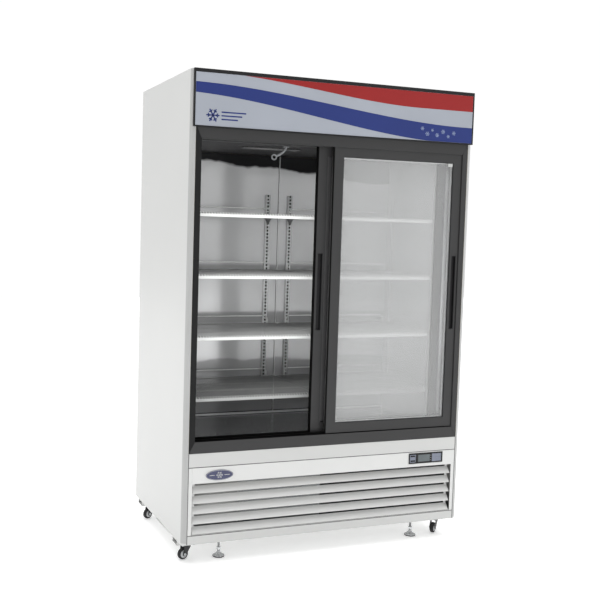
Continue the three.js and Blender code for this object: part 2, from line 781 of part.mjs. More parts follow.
// A domed steel pot on two feet, with its terminal box on the front.
function addCompressor() {
  const { x, depth, radius } = COMPRESSOR;
  const floor = SKIN_Z;
  const shell = turnedZ([
    [0, 0],
    [radius - 8, 0],
    [radius, 12],
    [radius, 150],
    [radius - 16, 186],
    [radius - 56, 204],
    [0, 208],
  ]).translate(x, FRONT + depth, floor + 22);
  const footX = 85;
  const feet = [-1, 1].map((sign) => {
    const middle = x + sign * footX;
    return box(middle - 22, middle + 22, depth - 80, depth + 80, floor, floor + 30);
  });
  const terminals = box(x - 75, x - 20, depth - 125, depth - 70, floor + 60, floor + 150);
  add("compressor", join(shell, ...feet, terminals), castBlack);
}

// The finned block, the fan shroud behind it, and the fan motor on a strut across the shroud.
function addCondenser() {
  const { x, half, front, back, top } = CONDENSER;
  const { z, depth, radius } = CONDENSER_FAN;
  const floor = SKIN_Z;
  const shroudBack = back + 48;
  const fins = box(x - half, x + half, front, back, floor, top);
  const shroud = cut(
    box(x - half + 10, x + half - 10, back - 1, shroudBack, floor, top - 4),
    box(x - half + 25, x + half - 25, back - 0.1, shroudBack + 2, floor + 21, top - 16),
  );
  const strutBack = depth + 50;
  const strut = box(x - half + 10, x + half - 10, strutBack - 4, strutBack, z - 12, z + 12);
  const motor = cylinderY(40, 70).translate(x, FRONT + strutBack + 6, z);
  const legX = half - 14;
  const legs = [-1, 1].map((sign) => {
    const middle = x + sign * legX;
    return box(middle - 4, middle + 4, shroudBack - 8, strutBack, z - 12, z + 12);
  });
  add("condenser_coil", join(fins, shroud, motor, strut, ...legs), galvanised);
  add("condenser_fan", fanGeometry(radius, 4, 30, 36), greyPlastic).position.set(
    x,
    FRONT + depth,
    z,
  );
}

// ---- Casters and levelling feet ----

// Where each caster points at rest, in degrees about Z.
const CASTERS = [
  ["front_left", -1, 0, 110],
  ["front_right", 1, 0, 130],
  ["rear_left", -1, 1, 118],
  ["rear_right", 1, 1, 35],
];

const CHEEK = { inside: 12, thick: 3 };
const AXLE_R = 4;

// A swivel fork about its pivot: a disc under the raceway, two cheeks and the axle.
function forkGeometry() {
  const discTop = CHANNEL_Z - CASTER_PLATE.racewayBottom - GAP;
  const { inside, thick } = CHEEK;
  const disc = cylinderZ(20, 4, 16).translate(0, 0, discTop - 2);
  const bridge = block(2 * (inside + thick), 34, 3).translate(0, 3, discTop - 5);
  const cheek = new THREE.Shape();
  cheek.moveTo(-14, discTop - 3.5);
  cheek.lineTo(TRAIL - 9, WHEEL_R - 4);
  cheek.absarc(TRAIL, WHEEL_R, 9.5, -0.8 * Math.PI, 0.1 * Math.PI, false);
  cheek.lineTo(TRAIL, discTop - 3.5);
  const cheeks = [inside, -inside - thick].map((x) => alongX(cheek, x, x + thick));
  const axle = cylinderX(AXLE_R, 2 * (inside + thick) + 4, 12).translate(0, TRAIL, WHEEL_R);
  return join(disc, bridge, ...cheeks, axle);
}

// A wheel about its own axle along X, with a dished hub and a running bore.
function wheelGeometry() {
  const halfWidth = 10.5;
  const rim = WHEEL_R - 2;
  const profile = [
    [WHEEL_BORE, -halfWidth],
    [15, -halfWidth + 2.5],
    [rim, -halfWidth],
    [WHEEL_R, -halfWidth + 3],
    [WHEEL_R, halfWidth - 3],
    [rim, halfWidth],
    [15, halfWidth - 2.5],
    [WHEEL_BORE, halfWidth],
    [WHEEL_BORE, -halfWidth],
  ];
  return new THREE.LatheGeometry(
    profile.map(([r, x]) => new THREE.Vector2(r, x)),
    24,
  ).rotateZ(-Math.PI / 2);
}

function addCasters() {
  const fork = forkGeometry();
  const wheel = wheelGeometry();
  for (const [place, sign, row, heading] of CASTERS) {
    const swivel = new THREE.Group();
    swivel.position.set(sign * CASTER_X, FRONT + CASTER_DEPTHS[row], 0);
    swivel.rotation.z = THREE.MathUtils.degToRad(heading);
    merchandiser.add(swivel);
    add(`caster_fork_${place}`, fork, castBlack, swivel);
    add(`caster_wheel_${place}`, wheel, blackPlastic, swivel).position.set(0, TRAIL, WHEEL_R);
  }
}

// Screw feet: pad, swivel neck, nut and stud in one turned shape, standing through the front channel.
function addLevellers() {
  const profile = [
    [0, 0],
    [26.5, 0],
    [27.5, 1.5],
    [27.5, 5],
    [24.5, 9],
    [13, 15],
    [9, 20],
    [9, 31],
    [11.5, 32],
    [11.5, 42],
    [6, 44],
    [6, 90],
    [0, 90],
  ];
  const foot = turnedZ(profile, 16);
  for (const [side, sign] of SIDES)
    add(`leveller_${side}`, foot, chromeSteel).position.set(
      sign * LEVELLER_X,
      FRONT + LEVELLER_DEPTH,
      0,
    );
}

addSkins();
addBackPanel();
addCordGland();
addInsulation();
addLiner();
addPilasters();
addCentrePost();
addShelves();
addDoorFrame();
addDoors();
addEvaporator();
addCeilingHook();
addHeader();
addSillPanel();
addGrille();
addBadge();
addController();
addBaseFrame();
addCompressor();
addCondenser();
addCasters();
addLevellers();

export default merchandiser;
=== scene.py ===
import json
import math
import random

import bpy
from mathutils import Matrix, Quaternion, Vector


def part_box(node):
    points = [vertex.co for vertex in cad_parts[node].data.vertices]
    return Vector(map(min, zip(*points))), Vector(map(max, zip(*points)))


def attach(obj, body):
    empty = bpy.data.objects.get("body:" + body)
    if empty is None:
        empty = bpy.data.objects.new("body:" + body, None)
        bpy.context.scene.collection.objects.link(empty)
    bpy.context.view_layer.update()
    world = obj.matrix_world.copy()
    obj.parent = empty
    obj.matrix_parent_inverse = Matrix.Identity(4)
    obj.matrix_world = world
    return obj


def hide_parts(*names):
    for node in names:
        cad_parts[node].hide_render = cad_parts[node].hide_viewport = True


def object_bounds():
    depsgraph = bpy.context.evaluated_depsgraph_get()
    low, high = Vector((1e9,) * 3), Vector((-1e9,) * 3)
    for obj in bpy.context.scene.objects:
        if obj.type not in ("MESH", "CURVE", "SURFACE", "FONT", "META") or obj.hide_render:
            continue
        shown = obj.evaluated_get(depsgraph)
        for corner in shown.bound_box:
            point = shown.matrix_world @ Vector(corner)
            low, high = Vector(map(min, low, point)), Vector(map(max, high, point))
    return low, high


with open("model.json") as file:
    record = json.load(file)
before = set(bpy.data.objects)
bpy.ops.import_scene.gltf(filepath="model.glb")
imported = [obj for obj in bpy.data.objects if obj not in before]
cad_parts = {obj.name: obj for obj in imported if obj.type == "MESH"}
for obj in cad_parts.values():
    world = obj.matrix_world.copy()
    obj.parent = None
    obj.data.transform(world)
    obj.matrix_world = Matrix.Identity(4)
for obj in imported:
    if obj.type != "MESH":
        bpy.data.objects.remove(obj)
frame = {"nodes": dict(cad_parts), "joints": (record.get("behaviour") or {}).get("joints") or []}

# The looks of a two-section glass door merchandiser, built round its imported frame.
# Metres, in the frame's own axes: X to the right, Y to the back, Z up.

CAD_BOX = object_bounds()
JOINTS = {joint["name"]: joint for joint in frame["joints"]}
SIDES = (("left", -1), ("right", 1))
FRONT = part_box("side_panel_left")[0].y
MM = 0.001

# The camera, fitted to the photo's straight edges with the cabinet's size held.
EYE_HEIGHT = 1.4530
EYE_LEFT = 1.8536
EYE_BEFORE_FRONT = 3.6373
AZIMUTH, ELEVATION, ROLL = 21.05, -4.09, 1.53
SENSOR_MM = 36
LENS_MM = 54.72
SHIFT = (0.10, -0.01)


# ---- Camera ----

def make_camera():
    azimuth, elevation, roll = (math.radians(a) for a in (AZIMUTH, ELEVATION, ROLL))
    forward = Vector((
        math.sin(azimuth) * math.cos(elevation),
        math.cos(azimuth) * math.cos(elevation),
        math.sin(elevation),
    ))
    data = bpy.data.cameras.new("camera")
    data.sensor_width = SENSOR_MM
    data.lens = LENS_MM
    data.shift_x, data.shift_y = SHIFT
    camera = bpy.data.objects.new("camera", data)
    bpy.context.scene.collection.objects.link(camera)
    camera.location = (-EYE_LEFT, FRONT - EYE_BEFORE_FRONT, EYE_HEIGHT)
    camera.rotation_mode = "QUATERNION"
    level = forward.to_track_quat("-Z", "Y")
    camera.rotation_quaternion = Quaternion(forward, -roll) @ level
    bpy.context.scene.camera = camera


make_camera()


# ---- Materials ----

def node_tree(name):
    material = bpy.data.materials.new(name)
    material.use_nodes = True
    tree = material.node_tree
    return material, tree.nodes, tree.links, tree.nodes["Principled BSDF"]


def place(nodes, links, stretch=(1, 1, 1)):
    """The point on the surface in its own object's coordinates, stretched along each axis."""
    coords = nodes.new("ShaderNodeTexCoord")
    mapping = nodes.new("ShaderNodeMapping")
    mapping.inputs["Scale"].default_value = stretch
    links.new(coords.outputs["Object"], mapping.inputs["Vector"])
    return mapping.outputs["Vector"]


def noise(nodes, links, vector, scale, detail=3.0, roughness=0.55):
    texture = nodes.new("ShaderNodeTexNoise")
    texture.inputs["Scale"].default_value = scale
    texture.inputs["Detail"].default_value = detail
    texture.inputs["Roughness"].default_value = roughness
    links.new(vector, texture.inputs["Vector"])
    return texture.outputs["Fac"]


def spread(nodes, links, value, low, high, start=0.3, end=0.7):
    """value, which runs from start to end, mapped to run from low to high."""
    ranged = nodes.new("ShaderNodeMapRange")
    for socket, number in zip(("From Min", "From Max", "To Min", "To Max"), (start, end, low, high)):
        ranged.inputs[socket].default_value = number
    links.new(value, ranged.inputs["Value"])
    return ranged.outputs["Result"]


def two_tone(nodes, links, factor, dark, light):
    ramp = nodes.new("ShaderNodeValToRGB")
    ramp.color_ramp.elements[0].color = (*dark, 1)
    ramp.color_ramp.elements[1].color = (*light, 1)
    ramp.color_ramp.elements[0].position = 0.3
    ramp.color_ramp.elements[1].position = 0.7
    links.new(factor, ramp.inputs["Fac"])
    return ramp.outputs["Color"]


def shaded(color, share):
    return tuple(min(1.0, c * share) for c in color)


def surface(
    name,
    color,
    roughness,
    metallic=0.0,
    mottle=0.04,
    patch=6.0,
    grain=400.0,
    bump=0.05,
    depth=0.0002,
    stretch=(1, 1, 1),
    **sockets,
):
    """A finish whose shade, gloss and grain all vary: mottle is the spread of its shade, patch and
    grain are the scales of its patches and of its fine relief, and stretch draws both out."""
    material, nodes, links, shader = node_tree(name)
    vector = place(nodes, links, stretch)
    patches = noise(nodes, links, vector, patch)
    fine = noise(nodes, links, vector, grain, detail=2.0)
    tone = two_tone(nodes, links, patches, shaded(color, 1 - mottle), shaded(color, 1 + mottle))
    links.new(tone, shader.inputs["Base Color"])
    gloss = spread(nodes, links, fine, roughness * 0.88, min(1.0, roughness * 1.14))
    links.new(gloss, shader.inputs["Roughness"])
    relief = nodes.new("ShaderNodeBump")
    relief.inputs["Strength"].default_value = bump
    relief.inputs["Distance"].default_value = depth
    links.new(fine, relief.inputs["Height"])
    links.new(relief.outputs["Normal"], shader.inputs["Normal"])
    shader.inputs["Metallic"].default_value = metallic
    for socket, number in sockets.items():
        shader.inputs[socket.replace("_", " ")].default_value = number
    return material


def rolled_steel(name, color, roughness, wave, metallic):
    """Bright liner sheet: cloudy, with slow waves that bend its reflections."""
    material, nodes, links, shader = node_tree(name)
    cloud = noise(nodes, links, place(nodes, links, (1, 1, 0.6)), 3.2, detail=2.0)
    brushed = noise(nodes, links, place(nodes, links, (60, 60, 4)), 3.0, detail=2.0)
    slow = noise(nodes, links, place(nodes, links), 2.4, detail=1.0)
    links.new(
        two_tone(nodes, links, cloud, shaded(color, 0.9), shaded(color, 1.07)),
        shader.inputs["Base Color"],
    )
    links.new(spread(nodes, links, brushed, roughness * 0.95, roughness * 1.08), shader.inputs["Roughness"])
    waves = nodes.new("ShaderNodeBump")
    waves.inputs["Strength"].default_value = 1.0
    waves.inputs["Distance"].default_value = wave
    links.new(slow, waves.inputs["Height"])
    links.new(waves.outputs["Normal"], shader.inputs["Normal"])
    shader.inputs["Metallic"].default_value = metallic
    return material


def combined(nodes, links, operation, first, second):
    node = nodes.new("ShaderNodeMath")
    node.operation = operation
    links.new(first, node.inputs[0])
    links.new(second, node.inputs[1])
    return node.outputs["Value"]


def shadowed_liner(name, liner):
    """The liner's finish, toned down in soft uneven bands: painted dark reflection beneath the ceiling and
    above the rear edge of each shelf that stands below eye height, and painted shadow at the foot."""
    material = liner.copy()
    material.name = name
    nodes, links = material.node_tree.nodes, material.node_tree.links
    shader = next(n for n in nodes if n.type == "BSDF_PRINCIPLED")
    tone = shader.inputs["Base Color"].links[0].from_socket
    split = nodes.new("ShaderNodeSeparateXYZ")
    links.new(place(nodes, links), split.inputs["Vector"])
    ripple = spread(nodes, links, noise(nodes, links, place(nodes, links), 5.0), -0.015, 0.015)
    height = split.outputs["Z"]
    uneven = combined(nodes, links, "ADD", height, ripple)
    slope = spread(nodes, links, split.outputs["X"], 0.0, 0.090, -0.62, 0.62)
    sloping = combined(nodes, links, "ADD", uneven, slope)
    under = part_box("evaporator_cover")[0].z
    shadow = spread(nodes, links, sloping, 0.0, 1.0, under - 0.030, under - 0.018)
    foot = spread(nodes, links, uneven, 0.50, 0.0, 0.700, 0.712)
    shadow = combined(nodes, links, "MAXIMUM", shadow, foot)
    for row in (2, 3, 4):
        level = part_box(f"shelf_left_{row}")[0].z + 0.020
        reach = (EYE_HEIGHT - level) * 0.115
        value = uneven if row == 4 else height
        rise = spread(nodes, links, value, 0.0, 0.42, level - 0.004, level)
        drop = spread(nodes, links, value, 0.42, 0.0, level + reach - 0.006, level + reach + 0.006)
        band = combined(nodes, links, "MINIMUM", rise, drop)
        shadow = combined(nodes, links, "MAXIMUM", shadow, band)
    blend = nodes.new("ShaderNodeMix")
    blend.data_type = "RGBA"
    links.new(shadow, blend.inputs["Factor"])
    links.new(tone, blend.inputs["A"])
    # The colour of the painted shadow and painted reflection in these bands.
    dark = two_tone(nodes, links, ripple, (0.02, 0.02, 0.021), (0.05, 0.05, 0.052))
    links.new(dark, blend.inputs["B"])
    links.new(blend.outputs["Result"], shader.inputs["Base Color"])
    return material


def painted_sheen_glass(name):
    """A pane that veils what is behind it in a pale grey: painted reflection of the studio light on
    a double pane.
    """
    material, nodes, links, shader = node_tree(name)
    cloud = noise(nodes, links, place(nodes, links, (1, 1, 0.35)), 1.7, detail=1.0)
    tone = two_tone(nodes, links, cloud, (0.72, 0.73, 0.73), (0.79, 0.80, 0.80))
    links.new(tone, shader.inputs["Base Color"])
    links.new(spread(nodes, links, cloud, 0.03, 0.07), shader.inputs["Roughness"])
    shader.inputs["Alpha"].default_value = 0.23
    shader.inputs["IOR"].default_value = 1.5
    return material


def finned(name, color, pitch, axis):
    """Thin fins side by side along one axis, as a stack of dark gaps and bright edges."""
    material, nodes, links, shader = node_tree(name)
    stretch = [0, 0, 0]
    stretch[axis] = 1 / pitch
    split = nodes.new("ShaderNodeSeparateXYZ")
    links.new(place(nodes, links, stretch), split.inputs["Vector"])
    wave = nodes.new("ShaderNodeMath")
    wave.operation = "PINGPONG"
    wave.inputs[1].default_value = 0.5
    links.new(split.outputs[axis], wave.inputs[0])
    edge = spread(nodes, links, wave.outputs["Value"], 0.0, 1.0, 0.15, 0.35)
    tone = two_tone(nodes, links, edge, shaded(color, 0.12), color)
    links.new(tone, shader.inputs["Base Color"])
    relief = nodes.new("ShaderNodeBump")
    relief.inputs["Distance"].default_value = pitch / 2
    links.new(edge, relief.inputs["Height"])
    links.new(relief.outputs["Normal"], shader.inputs["Normal"])
    links.new(spread(nodes, links, edge, 0.6, 0.35), shader.inputs["Roughness"])
    shader.inputs["Metallic"].default_value = 0.8
    return material


def lamp_tube(name, color, strength):
    material, nodes, links, shader = node_tree(name)
    cloud = noise(nodes, links, place(nodes, links), 30.0)
    tone = two_tone(nodes, links, cloud, shaded(color, 0.96), color)
    links.new(tone, shader.inputs["Base Color"])
    links.new(tone, shader.inputs["Emission Color"])
    links.new(spread(nodes, links, cloud, 0.25, 0.35), shader.inputs["Roughness"])
    shader.inputs["Emission Strength"].default_value = strength
    return material


ENAMEL = surface("white_enamel", (0.595, 0.60, 0.59), 0.34, mottle=0.012, patch=1.4, bump=0.06)
# A brighter copy of the white enamel for the grille: painted light on its slats.
LIT_GRILLE_ENAMEL = surface("lit_grille_enamel", (0.70, 0.705, 0.695), 0.34, mottle=0.012, patch=1.4, bump=0.06)
# Lighter and darker copies of the white enamel: the right side panel's rolled front corner in painted light,
# the left one's in painted shade. The darker copy is also the grey of the left bay baffle.
LIT_CORNER_ENAMEL = surface("lit_corner_enamel", (0.50, 0.505, 0.50), 0.4, mottle=0.02, patch=3.0)
GREY_ENAMEL_AND_SHADE = surface("grey_enamel_and_shade", (0.44, 0.444, 0.44), 0.4, mottle=0.02, patch=3.0)
ZINC = surface(
    "galvanised_sheet", (0.50, 0.52, 0.53), 0.42, metallic=0.85, mottle=0.14, patch=45.0, bump=0.08
)
LINER = rolled_steel("bright_liner", (0.69, 0.695, 0.70), 0.14, 0.0015, 0.42)
BACK_LINER = shadowed_liner("back_liner", LINER)
FLOOR_LINER = rolled_steel("floor_liner", (0.36, 0.364, 0.37), 0.26, 0.002, 0.85)
CEILING = surface(
    "ceiling_sheet", (0.018, 0.018, 0.019), 0.6, mottle=0.25, patch=5.0, bump=0.05, Specular_IOR_Level=0.2
)
PILASTER = surface("pilaster_zinc", (0.78, 0.79, 0.79), 0.45, metallic=0.1, mottle=0.1, patch=90.0)
FOAM = surface("rigid_foam", (0.72, 0.62, 0.38), 0.9, mottle=0.1, patch=60.0, bump=0.5, depth=0.0008)
# Black rubber for the real seals, stops and track strips, also used as painted shade: behind the shelf wire
# ends, inside the pilasters, along the floor ledge and on the left door's side face.
SEAL_AND_SHADE = surface("seal_rubber_and_shade", (0.004, 0.004, 0.004), 0.85, mottle=0.2, patch=30.0, Specular_IOR_Level=0.1)
# A darker copy of the frame's extrusion for the left jamb: painted shade.
SHADED_EXTRUSION = surface(
    "dark_extrusion", (0.008, 0.008, 0.0083), 0.45, mottle=0.3, patch=2.0, Specular_IOR_Level=0.22
)
# A lighter copy of the frame's extrusion for the meeting strip and the right door's flange: painted light.
LIT_EXTRUSION = surface("lit_extrusion", (0.085, 0.085, 0.086), 0.4, mottle=0.12, patch=3.0)
EXTRUSION = surface(
    "anodised_extrusion",
    (0.036, 0.036, 0.0365),
    0.48,
    mottle=0.06,
    patch=3.0,
    grain=900.0,
    bump=0.06,
    Specular_IOR_Level=0.35,
)
BLACK = surface(
    "black_plastic", (0.010, 0.010, 0.011), 0.5, mottle=0.15, patch=20.0, bump=0.12, Specular_IOR_Level=0.3
)
RUBBER = surface("black_rubber", (0.018, 0.018, 0.019), 0.75, mottle=0.2, patch=50.0, bump=0.2)
GLASS = painted_sheen_glass("painted_sheen_glass")
SPACER = surface("spacer_bar", (0.74, 0.75, 0.75), 0.32, metallic=0.6, mottle=0.05, patch=80.0)
# The shelves' white wire in two copies: bright for the fence and the bent wire ends, and a darker copy for
# the deck's wires, which is painted shade on the deck.
BRIGHT_WIRE = surface("bright_wire", (0.66, 0.67, 0.66), 0.3, mottle=0.05, patch=40.0, bump=0.05)
WIRE = surface("shaded_epoxy_wire", (0.36, 0.365, 0.36), 0.32, mottle=0.04, patch=40.0, bump=0.05)
STRIP = surface("ticket_strip", (0.54, 0.55, 0.54), 0.4, mottle=0.06, patch=14.0, bump=0.03)
GREY = surface("grey_plastic", (0.26, 0.28, 0.31), 0.4, mottle=0.05, patch=30.0, bump=0.1)
FILM = {"roughness": 0.36, "mottle": 0.04, "patch": 2.5, "bump": 0.02, "Specular_IOR_Level": 0.22}
SHEET_PRINT = surface("header_print", (0.365, 0.39, 0.44), **FILM)
BLUE_FILM = surface("blue_film", (0.024, 0.040, 0.180), **FILM)
RED_FILM = surface("red_film", (0.30, 0.021, 0.021), **FILM)
PALE_FILM = surface("pale_film", (0.34, 0.42, 0.62), 0.3, mottle=0.03, patch=30.0)
NAVY = surface("navy_badge", (0.022, 0.028, 0.095), 0.2, mottle=0.08, patch=30.0, Coat_Weight=0.5)
BADGE_RIM = surface("badge_rim", (0.55, 0.56, 0.60), 0.25, metallic=0.5, mottle=0.05, patch=60.0)
SCREEN = surface("display_window", (0.105, 0.125, 0.132), 0.15, mottle=0.12, patch=25.0, bump=0.01)
KEY_GREY = surface("key_film", (0.20, 0.22, 0.28), 0.4, mottle=0.06, patch=60.0)
LAMP = lamp_tube("lamp_tube", (0.60, 0.61, 0.63), 0.15)
CHROME = surface("chrome", (0.62, 0.63, 0.64), 0.2, metallic=1.0, mottle=0.45, patch=150.0, bump=0.3)
BRIGHT_STEEL = surface("bright_steel", (0.74, 0.75, 0.75), 0.3, metallic=0.5, mottle=0.06, patch=120.0)
STEEL = surface("screw_steel", (0.52, 0.53, 0.54), 0.3, metallic=1.0, mottle=0.08, patch=200.0)
PAINTED_BLACK = surface("black_paint", (0.02, 0.02, 0.022), 0.35, mottle=0.1, patch=30.0, bump=0.1)
HUB = surface("caster_hub", (0.62, 0.63, 0.64), 0.35, mottle=0.05, patch=60.0)
FINS_X = finned("finned_coil", (0.62, 0.64, 0.65), 0.0022, 0)
BAY_SHADOW_BLACK = surface("machine_bay_shadow", (0.05, 0.05, 0.05), 0.8, mottle=0.2, patch=12.0)
HOOK_GREY = surface("hook_grey", (0.13, 0.135, 0.14), 0.5, mottle=0.2, patch=60.0, bump=0.1)
DARK_STEEL = surface("dark_steel", (0.13, 0.13, 0.132), 0.45, metallic=0.4, mottle=0.1, patch=60.0)


# ---- Building shapes ----

class Shape:
    """Faces gathered into one piece. Every method adds one closed body."""

    def __init__(self):
        self.points = []
        self.faces = []

    def add(self, points, faces):
        start = len(self.points)
        self.points += [tuple(p) for p in points]
        self.faces += [[start + i for i in face] for face in faces]
        return self

    def box(self, low, high):
        (x0, y0, z0), (x1, y1, z1) = low, high
        points = [(x, y, z) for x in (x0, x1) for y in (y0, y1) for z in (z0, z1)]
        faces = [(0, 1, 3, 2), (4, 6, 7, 5), (0, 4, 5, 1), (2, 3, 7, 6), (0, 2, 6, 4), (1, 5, 7, 3)]
        return self.add(points, faces)

    def prism(self, outline, place_point, low, high):
        """outline runs anticlockwise, and place_point(u, v, w) puts it in space for w from low to high."""
        n = len(outline)
        points = [place_point(u, v, w) for w in (low, high) for u, v in outline]
        sides = [(i, (i + 1) % n, n + (i + 1) % n, n + i) for i in range(n)]
        return self.add(points, [tuple(reversed(range(n))), tuple(range(n, 2 * n)), *sides])

    def tube(self, path, radius, sides=8, closed=False):
        """A round bar along a path of points."""
        path = [Vector(p) for p in path]
        n = len(path)
        points = []
        side = None
        for i, here in enumerate(path):
            before = path[i - 1] if i or closed else here
            after = path[(i + 1) % n] if i < n - 1 or closed else here
            along = (after - before).normalized()
            if side is None:
                side = along.orthogonal().normalized()
            side = (side - along * side.dot(along)).normalized()
            other = along.cross(side)
            for k in range(sides):
                turn = 2 * math.pi * k / sides
                points.append(here + radius * (side * math.cos(turn) + other * math.sin(turn)))
        faces = []
        for i in range(n if closed else n - 1):
            j = (i + 1) % n
            for k in range(sides):
                m = (k + 1) % sides
                faces.append((i * sides + k, i * sides + m, j * sides + m, j * sides + k))
        if not closed:
            faces.append(tuple(reversed(range(sides))))
            faces.append(tuple(range((n - 1) * sides, n * sides)))
        return self.add(points, faces)

    def turned(self, profile, centre, axis=(0, 0, 1), sides=24):
        """A shape turned about axis, from (radius, height) pairs that start and end on the axis."""
        turn = Vector((0, 0, 1)).rotation_difference(Vector(axis).normalized())
        centre = Vector(centre)
        rings = profile[1:-1]
        n = len(rings)
        points = [centre + turn @ Vector((0, 0, profile[0][1]))]
        for r, z in rings:
            for k in range(sides):
                a = 2 * math.pi * k / sides
                points.append(centre + turn @ Vector((r * math.cos(a), r * math.sin(a), z)))
        points.append(centre + turn @ Vector((0, 0, profile[-1][1])))
        faces = []
        for k in range(sides):
            m = (k + 1) % sides
            faces.append((0, 1 + m, 1 + k))
            for i in range(n - 1):
                a, b = 1 + i * sides, 1 + (i + 1) * sides
                faces.append((a + k, a + m, b + m, b + k))
            last = 1 + (n - 1) * sides
            faces.append((last + k, last + m, len(points) - 1))
        return self.add(points, faces)

    def ring(self, profile, centre, axis=(0, 0, 1), sides=32):
        """A ring turned about axis from a closed profile of (radius, height) pairs."""
        turn = Vector((0, 0, 1)).rotation_difference(Vector(axis).normalized())
        centre = Vector(centre)
        n = len(profile)
        points = [
            centre + turn @ Vector((r * math.cos(a), r * math.sin(a), z))
            for a in (2 * math.pi * k / sides for k in range(sides))
            for r, z in profile
        ]
        faces = [
            (k * n + i, (k + 1) % sides * n + i, (k + 1) % sides * n + (i + 1) % n, k * n + (i + 1) % n)
            for k in range(sides)
            for i in range(n)
        ]
        return self.add(points, faces)

    def piece(self, name, body, material, slot=None, bevel=0.0, replaces=()):
        mesh = bpy.data.meshes.new(name)
        mesh.from_pydata(self.points, [], self.faces)
        mesh.validate()
        mesh.materials.append(material)
        obj = bpy.data.objects.new(name, mesh)
        bpy.context.scene.collection.objects.link(obj)
        face_out(mesh)
        if bevel:
            round_edges(obj, bevel)
        smooth_by_angle(mesh)
        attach(obj, body)
        if replaces:
            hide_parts(*replaces)
        return obj


def face_out(mesh):
    """Turns every closed body's faces outwards."""
    import bmesh

    work = bmesh.new()
    work.from_mesh(mesh)
    bmesh.ops.recalc_face_normals(work, faces=work.faces)
    work.to_mesh(mesh)
    work.free()


def smooth_by_angle(mesh, degrees=32):
    """Smooth shading, with the edges where faces meet at an angle sharp. Faces that meet there may
    have vertices of their own, so edges are told by the places of their ends."""
    places = [tuple(round(c, 6) for c in vertex.co) for vertex in mesh.vertices]
    meeting = {}
    for polygon in mesh.polygons:
        polygon.use_smooth = True
        for start, end in polygon.edge_keys:
            meeting.setdefault(frozenset((places[start], places[end])), []).append(polygon.normal.copy())
    limit = math.cos(math.radians(degrees))
    for edge in mesh.edges:
        start, end = edge.vertices
        first, *others = meeting.get(frozenset((places[start], places[end])), [None])
        edge.use_edge_sharp = any(first.dot(other) < limit for other in others)


def round_edges(obj, width, segments=2):
    bevel = obj.modifiers.new("edges", "BEVEL")
    bevel.width = width
    bevel.segments = segments
    bevel.limit_method = "ANGLE"
    bevel.angle_limit = math.radians(35)
    bevel.harden_normals = True
    return bevel


def xyz(u, v, w):
    return (u, v, w)


def along_x(u, v, w):
    """An outline in Y and Z, drawn out along X."""
    return (w, u, v)


def along_y(u, v, w):
    """An outline in X and Z, drawn out along Y."""
    return (u, w, v)


def arc(centre, radius, start, end, steps):
    """Points of an arc in two dimensions, with its angles in degrees."""
    return [
        (centre[0] + radius * math.cos(a), centre[1] + radius * math.sin(a))
        for a in (math.radians(start + (end - start) * i / steps) for i in range(steps + 1))
    ]


def bent(corners, radius, steps=5):
    """A path through corners in space, with each inner corner rounded."""
    corners = [Vector(c) for c in corners]
    path = [corners[0]]
    for before, here, after in zip(corners, corners[1:], corners[2:]):
        start = here + (before - here).normalized() * radius
        end = here + (after - here).normalized() * radius
        for i in range(steps + 1):
            t = i / steps
            path.append(start.lerp(here, t).lerp(here.lerp(end, t), t))
    path.append(corners[-1])
    return path


# ---- CAD nodes that stay, with their finishes ----

def finish_node(name, material, bevel=0.0):
    """Gives a CAD node its material, joins its split vertices, and rounds its sharp edges."""
    obj = frame["nodes"][name]
    obj.data.materials.clear()
    obj.data.materials.append(material)
    for polygon in obj.data.polygons:
        polygon.material_index = 0
    weld = obj.modifiers.new("weld", "WELD")
    weld.merge_threshold = 0.00001
    if bevel:
        round_edges(obj, bevel)
    smooth_by_angle(obj.data)
    return obj


def finish_cabinet_nodes():
    for side, _ in SIDES:
        finish_node(f"side_panel_{side}", ENAMEL)
        finish_node(f"liner_{side}", LINER)
        finish_node(f"jamb_{side}", SHADED_EXTRUSION if side == "left" else EXTRUSION, 0.0008)
        finish_node(f"evaporator_fan_{side}", GREY, 0.0004)
        finish_node(f"door_{side}_frame", EXTRUSION, 0.0012)
        finish_node(f"door_{side}_glass", GLASS)
        finish_node(f"door_{side}_pull", BLACK, 0.0008)
    finish_node("top_panel", ENAMEL)
    finish_node("back_panel", ZINC, 0.0003)
    finish_node("cord_gland", BLACK, 0.0008)
    finish_node("insulation", FOAM)
    finish_node("liner_back", BACK_LINER)
    finish_node("liner_floor", FLOOR_LINER)
    finish_node("centre_post", ZINC, 0.0005)
    finish_node("top_track", EXTRUSION, 0.0008)
    finish_node("bottom_track", EXTRUSION, 0.0008)
    finish_node("evaporator_cover", CEILING)
    finish_node("evaporator_coil", FINS_X)
    finish_node("ceiling_hook", HOOK_GREY)
    finish_node("header_housing", BLACK, 0.0012)
    finish_node("header_panel", SHEET_PRINT)
    finish_node("header_lamp", LAMP, 0.0008)
    finish_node("sill_panel", ENAMEL, 0.0008)
    finish_node("grille_panel", LIT_GRILLE_ENAMEL, 0.0006)
    finish_node("badge", NAVY, 0.0008)
    finish_node("controller", BLACK, 0.001)
    finish_node("base_frame", ENAMEL, 0.0008)
    finish_node("compressor", PAINTED_BLACK, 0.002)
    finish_node("condenser_coil", FINS_X, 0.001)
    finish_node("condenser_fan", GREY, 0.0005)
    for key in ("set", "up", "down"):
        finish_node(f"key_{key}", KEY_GREY, 0.0008)


# ---- Shelves ----

WIRE_PITCH = 0.0131


